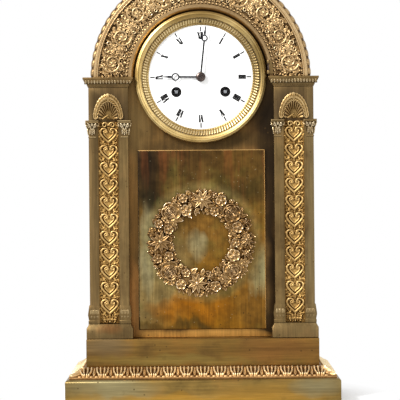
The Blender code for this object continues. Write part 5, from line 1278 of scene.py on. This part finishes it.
def niche_head(side):
    low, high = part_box(f"{side}_niche_head")
    x_mid, spring = (low.x + high.x) / 2, low.z
    outer = (high.x - low.x) / 2
    top = (high.z - low.z) * 1.09
    face = -low.y
    bm = start()
    band_in, mid = outer - BAND, BAND / 2
    middle = band_in + mid
    half_way = math.pi / 2 * middle
    s = sheet(2 * half_way, BAND_SPAN, 0.00027)
    stroke(s, [(0, mid), (2 * half_way, mid)], 0.0022, 0.0004)
    count = 8
    for k in range(count):
        foot = (k + 0.02) / count * (half_way - 0.0012)
        for heading, at_u in ((0.0, foot), (math.pi, 2 * half_way - foot)):
            for lean in (-0.62, 0.62):
                leaf(s, (at_u, mid), heading + lean, 0.0042, 0.0012, 0.0013, 0.0003, vein=0.5)
            leaf(s, (at_u, mid), heading, 0.0036, 0.0008, 0.0011, 0.0008, vein=0.3)
    leaf(s, (half_way, 0.0006), math.pi / 2, 0.0048, 0.0016, 0.0014, 0.0006)
    stretch = top / outer

    def band_place(u, v, h):
        bulge = 0.0009 * np.sin(np.clip(v / BAND_SPAN, 0, 1) * math.pi) ** 0.5
        r, turn = band_in + v, u / middle
        proud = face - 0.0021 + bulge + np.minimum(h, 0.0014)
        return x_mid + r * np.cos(turn), -proud, spring + r * np.sin(turn) * stretch

    lay(bm, s, band_place, full=0.0021, trim=0.0001, crisp=2.2)
    skirt(bm, high.y - 0.0004, 0.1)
    shell, turn, out = sheet_on(np.linspace(0, math.pi, 261), np.linspace(0.02, 1, 26))
    wave = np.abs(np.sin(turn * FLUTES)) ** 0.6
    shell["h"] = wave * np.clip(out * 1.3, 0, 1) * 0.0013

    def shell_place(u, v, h):
        r = v * (band_in + 0.0004)
        deep = 0.0050 * np.sqrt(np.clip(1 - (0.15 + 0.85 * v) ** 2, 0, 1)) * (0.55 + 0.45 * np.sin(u))
        proud = face - 0.0030 - deep + h * 0.9
        return x_mid + r * np.cos(u), -np.maximum(proud, -high.y), spring + 0.0004 + r * np.sin(u) * stretch

    lay(bm, shell, shell_place, full=0.0021, keep_below=-0.0008)
    chevron = sheet(2 * CHEVRON_HALF, 0.006, 0.00028)
    for lean in (-1, 1):
        foot = (CHEVRON_HALF + lean * 0.0052, 0.0008)
        stroke(chevron, [foot, (CHEVRON_HALF, 0.0046)], (0.0010, 0.0007), 0.0010, 0.0006)
        leaf(chevron, foot, math.pi / 2 + lean, 0.0050, 0.0011, 0.0008, 0.0004, lobes=2)
    leaf(chevron, (CHEVRON_HALF, 0.0004), math.pi / 2, 0.0052, 0.0016, 0.0010, 0.0004, lobes=3)

    def chevron_place(u, v, h):
        return x_mid + u - CHEVRON_HALF, high.y - 0.0026 - h, spring + 0.0002 + v

    lay(bm, chevron, chevron_place, full=0.0040, trim=0.0002)
    piece(f"{side}_niche_shell_and_laurel", bm, niche_gilt, "cast_gilt", f"{side}_niche_head", sharp=60)


for side in ("left", "right"):
    niche_head(side)

# %% [markdown]
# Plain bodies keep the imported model's form, with their edges eased by a fine bevel so that they catch
# the light as filed bronze does.

# %% Plain bodies


def eased(name, node_name, metal, slot, width=0.00035, body="case"):
    """A copy of a node's mesh with welded points and rounded edges."""
    bm = bmesh.new()
    bm.from_mesh(nodes[node_name].data)
    bmesh.ops.remove_doubles(bm, verts=bm.verts[:], dist=1e-6)
    bmesh.ops.dissolve_limit(bm, angle_limit=math.radians(1), verts=bm.verts[:], edges=bm.edges[:])
    edges = [e for e in bm.edges if len(e.link_faces) == 2 and e.calc_face_angle(0) > math.radians(32)]
    bmesh.ops.bevel(
        bm, geom=edges, offset=width, offset_type="OFFSET", segments=3, affect="EDGES",
        profile=0.5, clamp_overlap=True,
    )
    piece(name, bm, metal, slot, node_name, body=body)


eased("lower_plinth_body", "lower_plinth", toned_plinth, "toned_bronze", 0.0006)
eased("upper_plinth_body", "upper_plinth", toned_step, "toned_bronze", 0.0005)
for side in ("left", "right"):
    eased(f"{side}_pier_block_body", f"{side}_pier_block", toned_pier, "toned_bronze", 0.0005)
    eased(f"{side}_pier_body", f"{side}_pier", toned_pier, "toned_bronze", 0.00035)
eased("front_panel_plate", "front_panel", panel_metal, "toned_bronze", 0.0006)

# %% [markdown]
# Curved sheet parts are drawn as flat outlines with finely stepped arcs, filled and given their
# thickness: the front wall, the wrapped case and both hands.

# %% Flat outlines


def loop(radius, first, last, steps, at=(0.0, 0.0)):
    angles = np.radians(np.linspace(first, last, steps + 1))
    return [polar(at, radius, a) for a in angles]


def outline_piece(name, loops, y_front, y_back, metal, slot, *instead_of, body="case", bevel=0.0002):
    """A filled outline of x and z loops, holes included, with eased edges between two depths."""
    curve = bpy.data.curves.new(name, "CURVE")
    curve.dimensions = "2D"
    curve.fill_mode = "BOTH"
    curve.extrude = (y_back - y_front) / 2 - bevel
    curve.bevel_depth = bevel
    curve.bevel_resolution = 2
    curve.offset = -bevel
    for points in loops:
        spline = curve.splines.new("POLY")
        spline.points.add(len(points) - 1)
        for point, (x, z) in zip(spline.points, points):
            point.co = (x, z, 0, 1)
        spline.use_cyclic_u = True
    holder = bpy.data.objects.new(name + "_outline", curve)
    bpy.context.scene.collection.objects.link(holder)
    shape = bpy.data.meshes.new_from_object(holder.evaluated_get(bpy.context.evaluated_depsgraph_get()))
    bpy.data.objects.remove(holder)
    bm = bmesh.new()
    bm.from_mesh(shape)
    bpy.data.meshes.remove(shape)
    middle = (y_front + y_back) / 2
    for vert in bm.verts:
        x, z, depth = vert.co
        vert.co = (x, middle - depth, z)
    bmesh.ops.remove_doubles(bm, verts=bm.verts[:], dist=1e-6)
    bmesh.ops.recalc_face_normals(bm, faces=bm.faces[:])
    piece(name, bm, metal, slot, *instead_of, body=body, sharp=35)


def arched(radius, foot):
    return [(-radius, foot), (radius, foot)] + loop(radius, 0, 180, 120, (0.0, D))


low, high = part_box("front_wall")
outline_piece(
    "front_wall_plate", [arched(high.x, low.z), loop(0.0540, 0, 357, 119, (0, D))], low.y, high.y,
    wall_toning_and_painted_shadow, "toned_bronze", "front_wall", bevel=0.0003,
)
low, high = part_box("case_shell")
outer, inner = high.x, high.x - 0.0020
band = [(-outer, low.z), (-inner, low.z)] + loop(inner, 180, 0, 120, (0.0, D))
band += [(inner, low.z), (outer, low.z)] + loop(outer, 0, 180, 120, (0.0, D))
outline_piece(
    "case_wrapped_sides", [band], low.y, high.y, toned_case, "toned_bronze", "case_shell", bevel=0.0003,
)

# %% [markdown]
# The imposts carry a cyma with a row of leaf tips. Small leaf rows also mark the feet of the pilasters.

# %% Imposts and feet


def tip_row(s, span, count, v, length, width, height):
    """A row of leaves across a span, with their tips down."""
    for k in range(count):
        u = span * (k + 0.5) / count
        leaf(s, (u, v), -math.pi / 2, length, width, height, 0.0002, vein=0.5)


for side in ("left", "right"):
    eased(f"{side}_impost_body", f"{side}_impost", toned_pier, "toned_bronze", 0.00030)
    low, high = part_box(f"{side}_impost")
    span = high.x - low.x - 0.0030
    s = sheet(span, 0.0036, 0.00026)
    tip_row(s, span, 16, 0.0034, 0.0032, 0.0010, 0.0010)
    stroke(s, [(0, 0.0034), (span, 0.0034)], 0.0004, 0.0006)
    bm = start()

    def on_impost(u, v, h):
        back = np.interp(v, [0, 0.0036], [0.0030, 0.0012])
        return low.x + 0.0015 + u, low.y + back - h, low.z + 0.0030 + v

    lay(bm, s, on_impost, full=0.0019)
    piece(f"{side}_impost_leaf_row", bm, capital_bronze, "toned_bronze", sharp=50)

low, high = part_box("right_pier")
for sign, side in ((-1, "left"), (1, "right")):
    for which, x0, x1 in (("outer", 0.0955, 0.1039), ("inner", 0.0675, 0.0759)):
        span = x1 - x0
        s = sheet(span, 0.0115, 0.00028)
        tip_row(s, span, 3, 0.0112, 0.0086, 0.0015, 0.0008)
        for share in (1 / 3, 2 / 3):
            leaf(s, (share * span, 0.0108), -math.pi / 2, 0.0062, 0.0012, 0.0006, 0.0001, lobes=2)
        bm = start()

        def on_foot(u, v, h):
            return sign * (x0 + u), low.y + 0.0010 - h, low.z + 0.0022 + v

        lay(bm, s, on_foot, full=0.0026, trim=0.00008)
        piece(f"{side}_{which}_foot_leaves", bm, capital_bronze, "toned_bronze", sharp=50)

# %% [markdown]
# The dial side: a turned bezel that opens with its glass, the engine turned ring with the regulator's
# hole, the domed enamel with its painted hours, the winding holes and the two blued hands.

# %% Bezel and glass
bm = start()
spun(bm, soft([
    (0.0561, 0.0317), (0.0561, 0.0371), (0.0551, 0.0373), (0.0550, 0.0388), (0.0556, 0.0399),
    (0.0573, 0.0405), (0.0577, 0.0416), (0.0585, 0.0419), (0.0594, 0.0415), (0.0598, 0.0407),
    (0.06035, 0.0405), (0.0607, 0.0399), (0.06105, 0.0382), (0.06105, 0.0317), (0.0561, 0.0317),
], 0.0003), 256, 0.75)
piece("bezel_turned_ring", bm, bezel_gilt, "burnished_gilt", "bezel", body="bezel_door")
eased("bezel_hinge_bracket_eased", "bezel_hinge_bracket", toned_pier, "burnished_gilt", 0.00012)
eased("bezel_hinge_pin_eased", "bezel_hinge_pin", boss_steel, "steel", 0.00012)
bm = start()
GLASS_R, GLASS_EDGE, GLASS_RISE, BEND = 0.0584, 0.0373, 0.0054, 1.2
crown = [
    (GLASS_R * math.sin(a), GLASS_EDGE + GLASS_RISE * (math.cos(a) - math.cos(BEND)) / (1 - math.cos(BEND)))
    for a in np.linspace(0.0, BEND, 30)
]
scale = GLASS_R / crown[-1][0]
upper = [(r * scale, h) for r, h in crown]
spun(bm, upper[1:] + [(GLASS_R, GLASS_EDGE)], 160, 0.5)
hub = bm.verts.new((0, -upper[0][1], D))
rim_verts = sorted(
    (v for v in bm.verts if v is not hub and math.hypot(v.co.x, v.co.z - D) < upper[1][0] + 1e-5),
    key=lambda v: math.atan2(v.co.z - D, v.co.x),
)
for a, b in zip(rim_verts, rim_verts[1:] + rim_verts[:1]):
    bm.faces.new((hub, a, b))
bmesh.ops.recalc_face_normals(bm, faces=bm.faces[:])
piece("domed_dial_glass", bm, glass, "glass", "bezel_glass", body="bezel_door")

# %% Engine turned ring
CELLS, RING_FOOT, RING_WIDE, HOLE_R = 132, 0.0489, 0.0060, 0.0519
bm = start()
s, turn, out = sheet_on(np.linspace(0, 2 * math.pi, CELLS * 12 + 1), np.linspace(0, RING_WIDE, 26))
phase = (turn / (2 * math.pi) * CELLS) % 1.0
sweep = (phase + out / RING_WIDE * 0.35) % 1.0
ribs = np.abs(np.sin(sweep * math.pi)) ** 0.6
beads = (np.abs(phase - 0.5) * 2) ** 2
s["h"] = np.where(out < 0.0013, (1 - beads) * 0.5, ribs) * 0.00075
s["h"] *= (np.abs(out - 0.0013) > 0.00022) * (np.abs(out - 0.0053) > 0.00022)
hole = np.hypot((turn - math.pi / 2) * HOLE_R, out - 0.0025)
s["h"] = np.where(hole < 0.0011, 0.0, s["h"])
profile_r = [0.0, 0.0008, 0.0028, 0.0041, RING_WIDE]
profile_h = [0.0322, 0.0327, 0.0339, 0.0347, 0.0356]


def on_ring(u, v, h):
    r = RING_FOOT + v
    return r * np.cos(u), -(np.interp(v, profile_r, profile_h) + h * 0.9), D + r * np.sin(u)


lay(bm, s, on_ring, full=0.00075)
spun(bm, [(RING_FOOT, 0.0322), (0.0485, 0.0320), (0.0485, 0.0311), (0.0485, 0.0303)], 240, 0.55)
spun(bm, [(0.0549, 0.0358), (0.0554, 0.0361), (0.0555, 0.0359), (0.0555, 0.0317)], 240, 0.7)
piece("sight_ring_engine_turned", bm, ring_gilt, "burnished_gilt", "sight_ring", sharp=60)
bm = start()
spun(bm, [(0.0009, 0.0343), (0.0006, 0.0344), (0.00001, 0.0344)], 24, 0.2, middle=(0.0, D + HOLE_R))
piece("regulator_square_shadow", bm, hole_black, "steel")

# %% [markdown]
# Enamel and painting. The hours are Roman, upright towards the rim, built from thick and thin strokes
# with small serifs, and laid on the dome a hair above the enamel.

# %% Dial
DIAL_R, CENTRE_HOLE = 0.0496, 0.0032
ENAMEL_EDGE, ENAMEL_CROWN, ENAMEL_BACK = 0.0309, 0.03293, 0.0303
WINDING_X, WINDING_DROP = 0.0227, 0.0137


def dome_at(r):
    """Proud height of the enamel at a radius."""
    return ENAMEL_EDGE + (ENAMEL_CROWN - ENAMEL_EDGE) * math.sqrt(max(0.0, 1 - (r / DIAL_R) ** 2)) ** 1.2


bm = start()
radii = [CENTRE_HOLE + (DIAL_R - CENTRE_HOLE) * math.sin(t) for t in np.linspace(0, math.pi / 2, 70)]
dome = [(r, dome_at(r)) for r in radii]
spun(bm, [(CENTRE_HOLE, ENAMEL_EDGE)] + dome + [(DIAL_R, ENAMEL_BACK)], 420, 0.5)
winding = [(side * WINDING_X, D - WINDING_DROP) for side in (-1, 1)]
open_here = [
    face for face in bm.faces
    if min(math.dist(at, face.calc_center_median().xz) for at in winding) < 0.0041
]
bmesh.ops.delete(bm, geom=open_here, context="FACES")
piece("enamel_dial_dome", bm, enamel, "enamel", "dial")


def painted(bm, points, lift=0.00005):
    """A painted patch from points (radius, angle) on the dial."""
    verts = []
    for r, a in points:
        verts.append(bm.verts.new((r * math.cos(a), -(dome_at(r) + lift), D + r * math.sin(a))))
    face = bm.faces.new(verts)
    face.normal_update()
    if face.normal.y > 0:
        face.normal_flip()


NUMERALS = ["XII", "I", "II", "III", "IIII", "V", "VI", "VII", "VIII", "IX", "X", "XI"]
TALL, FOOT_R, ALONE_WIDER = 0.0068, 0.0352, 1.25
SERIF, SERIF_THICK = 0.0006, 0.00022
BARS = {
    "I": [((0.0, 0.0), (0.0, 1.0), 0.00128)],
    "V": [((-0.0010, 1.0), (0.0001, 0.0), 0.00155), ((0.0013, 1.0), (0.0001, 0.0), 0.00060)],
    "X": [((-0.0010, 1.0), (0.0010, 0.0), 0.00160), ((0.0009, 1.0), (-0.0009, 0.0), 0.00050)],
}
WIDTHS = {"I": 0.00132, "V": 0.0027, "X": 0.0027}
bm = start()
for hour, text in enumerate(NUMERALS):
    centre = math.pi / 2 - hour * math.pi / 6
    across = sum(WIDTHS[letter] for letter in text)
    at = -across / 2
    for letter in text:
        at += WIDTHS[letter] / 2
        bars = list(BARS[letter])
        for *ends, _ in BARS[letter]:
            bars += [((x - SERIF, t), (x + SERIF, t), SERIF_THICK) for x, t in ends]
        for (xa, ta), (xb, tb), thick in bars:
            half = thick / 2 * (ALONE_WIDER if len(text) == 1 and thick > 0.0005 else 1.0)
            ra, rb = FOOT_R + ta * TALL, FOOT_R + tb * TALL
            xa, xb = at + xa, at + xb
            if ta != tb:
                corners = [(ra, xa - half), (ra, xa + half), (rb, xb + half), (rb, xb - half)]
            else:
                corners = [(ra - half, xa), (ra - half, xb), (ra + half, xb), (ra + half, xa)]
            painted(bm, [(r, centre - x / r) for r, x in corners])
        at += WIDTHS[letter] / 2
for minute in range(60):
    a = math.pi / 2 - minute * math.pi / 30
    wide, inner, outer = (0.00014, 0.0457, 0.0466) if minute % 5 else (0.00058, 0.0426, 0.0470)
    ends = [(inner, -wide), (outer, -wide), (outer, wide), (inner, wide)]
    painted(bm, [(r, a + x / r) for r, x in ends])
piece("painted_hours_and_minutes", bm, enamel_print, "enamel", sharp=30)

# %% Winding holes
for side, (x, z), body in zip(("left", "right"), winding, ("strike_winder", "going_winder")):
    h0 = dome_at(math.hypot(x, z - D))
    sunk = h0 - 0.0009
    bm = start()
    lip = [(0.0035, -0.0016), (0.0036, 0.0004), (0.0044, 0.00045), (0.0047, 0.0003), (0.0048, -0.0004)]
    spun(bm, soft([(r, h0 + up) for r, up in lip], 0.0002), 64, 0.5, middle=(x, z))
    spun(bm, [(0.0037, sunk), (0.0020, sunk), (0.00001, sunk)], 64, 0.2, middle=(x, z))
    piece(f"{side}_winding_hole_ring", bm, hole_black, "enamel")
    bm = start()
    square = loop(0.00195, 45, 315, 3, (x, z))
    bottom = [bm.verts.new((px, -sunk, pz)) for px, pz in square]
    face = bm.faces.new(bottom)
    raised = bmesh.ops.extrude_face_region(bm, geom=[face])["geom"]
    end = [g for g in raised if isinstance(g, bmesh.types.BMVert)]
    bmesh.ops.translate(bm, verts=end, vec=(0, -0.0009, 0))
    bmesh.ops.recalc_face_normals(bm, faces=bm.faces[:])
    bmesh.ops.bevel(bm, geom=bm.edges[:], offset=0.0002, segments=2, affect="EDGES", profile=0.5)
    piece(f"{side}_winding_square_end", bm, steel, "steel", body=body)

# %% Hands


def hand_loops(length, ring_at, ring_r, boss, hole, direction, stem, tip):
    """Boss, stem, open ring and tapering point, in the dial's plane, with its two holes."""
    at_boss, a1 = math.degrees(math.asin(stem / boss)), math.asin(stem / ring_r)
    right = [(ring_at - ring_r * math.cos(a1), stem)]
    upper = [polar((ring_at, 0.0), ring_r, t) for t in np.linspace(math.pi - a1, a1, 40)]
    far = ring_at + ring_r
    point = [(far + 0.0022, stem * 1.35), (far + 0.0040, stem * 0.9), (length, tip)]
    side = right + upper[1:] + point
    outline = loop(boss, 360 - at_boss, at_boss, 48) + side + [(p, -q) for p, q in reversed(side)]
    ring = loop(ring_r - 0.00120, 0, 354, 59, (ring_at, 0.0))
    bore = loop(hole, 0, 350, 35)
    c, n = math.cos(direction), math.sin(direction)
    return [[(p * c - q * n, D + p * n + q * c) for p, q in part] for part in (outline, ring, bore)]


hour_loops = hand_loops(0.0352, 0.0234, 0.0037, 0.0036, 0.0012, math.radians(180 - 0.5), 0.00082, 0.00040)
outline_piece(
    "hour_hand_open_ring", hour_loops, -0.0352, -0.0347, blued_steel, "blued_steel", "hour_hand",
    body="hour", bevel=0.00012,
)
minute_loops = hand_loops(0.0472, 0.0361, 0.0031, 0.0036, 0.0012, math.radians(90 - 6), 0.00078, 0.00045)
outline_piece(
    "minute_hand_open_ring", minute_loops, -0.0368, -0.0363, blued_steel, "blued_steel", "minute_hand",
    body="minute", bevel=0.00012,
)
bm = start()
spun(bm, soft([
    (0.0045, 0.0363), (0.0045, 0.0369), (0.0039, 0.0376), (0.0027, 0.0381), (0.0016, 0.0382),
    (0.00001, 0.03822),
], 0.0002), 64, 0.5)
piece("minute_hand_boss", bm, boss_steel, "blued_steel", body="minute")

# %% [markdown]
# The back: a plain round opening with its turned door and knob, and through it the movement. Its
# wheels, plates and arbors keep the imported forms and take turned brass, polished steel and bell metal.

# %% Back and movement
eased("back_panel_plate", "back_panel", toned_case, "toned_bronze", 0.0003)
door_brass = burnished(
    "turned_back_door_brass",
    [(0.30, "#7a5a26"), (0.45, "#9f7d3a"), (0.60, "#b89550"), (0.75, "#8a6830")], 0.26, 5.0,
)
eased("rear_door_turned", "rear_door", door_brass, "toned_bronze", 0.0003, body="back_door")
finish_of = {
    "steel": steel, "brass": brass, "bell_metal": bell_metal, "silk": silk, "blued_steel": blued_steel,
    "toned_bronze": toned_pier, "burnished_gilt": bezel_gilt, "cast_gilt": arch_gilt, "enamel": enamel,
    "glass": glass,
}
replaced = {name for obj in bpy.data.objects for name in obj.get("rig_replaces", [])}
slot_of = {name: obj.data.materials[0].name.split(".")[0] for name, obj in nodes.items()}
for name, obj in nodes.items():
    if name in replaced:
        continue
    obj.data.materials.clear()
    obj.data.materials.append(finish_of[slot_of[name]])
    print("finished node", name, slot_of[name])

# %% [markdown]
# The photograph: a long lens from straight ahead, a little above the middle and turned by half a degree
# as the picture is, in a pale studio with its strongest light from the upper left.

# %% Floor, light and camera
bm = bmesh.new()
bmesh.ops.create_grid(bm, x_segments=2, y_segments=2, size=6.0)
floor_mesh = bpy.data.meshes.new("studio_floor")
bm.to_mesh(floor_mesh)
bm.free()
floor = bpy.data.objects.new("studio_floor", floor_mesh)
bpy.context.scene.collection.objects.link(floor)
floor_made, shader, place = material("pale_studio_floor")
shader.inputs["Base Color"].default_value = colour("#f4f4f4")
shader.inputs["Roughness"].default_value = 0.9
SHADOW_TO, FADE = 0.132, 0.05
far = maths("DIVIDE", minus(distance(place), SHADOW_TO), FADE, clamp=True)
bright = node("ShaderNodeEmission", {"Color": colour("#ffffff"), "Strength": 1.0}).outputs[0]
both = node("ShaderNodeMixShader", {0: far, 1: shader.outputs[0], 2: bright}).outputs[0]
to_surface(both)
floor_mesh.materials.append(floor_made)

world = bpy.data.worlds.new("studio")
world.use_nodes = True
background = world.node_tree.nodes["Background"]
background.inputs["Color"].default_value = colour("#ffffff")
background.inputs["Strength"].default_value = 1.0
bpy.context.scene.world = world


def lamp(name, at, aim, size, power):
    light = bpy.data.lights.new(name, "AREA")
    light.shape = "RECTANGLE"
    light.size, light.size_y = size
    light.energy = power
    obj = bpy.data.objects.new(name, light)
    obj.location = at
    bpy.context.scene.collection.objects.link(obj)
    aim_at = Vector(aim) - Vector(at)
    obj.rotation_euler = aim_at.to_track_quat("-Z", "Y").to_euler()


lamp("key_upper_left", (-1.05, -1.15, 1.25), (0, 0, 0.20), (0.34, 0.34), 58.0)
lamp("fill_right", (1.2, -1.3, 0.7), (0, 0, 0.20), (0.7, 0.9), 6.0)
scene = bpy.context.scene
scene.view_settings.view_transform = "Standard"
lens = bpy.data.cameras.new("photo_camera")
lens.lens = 163.0
lens.sensor_width = 36.0
lens.shift_x = -0.00375
lens.shift_y = -0.049
camera = bpy.data.objects.new("photo_camera", lens)
camera.location = (0.0, -1.715, 0.205)
camera.rotation_euler = (math.radians(90), math.radians(0.46), 0.0)
bpy.context.scene.collection.objects.link(camera)
scene.camera = camera
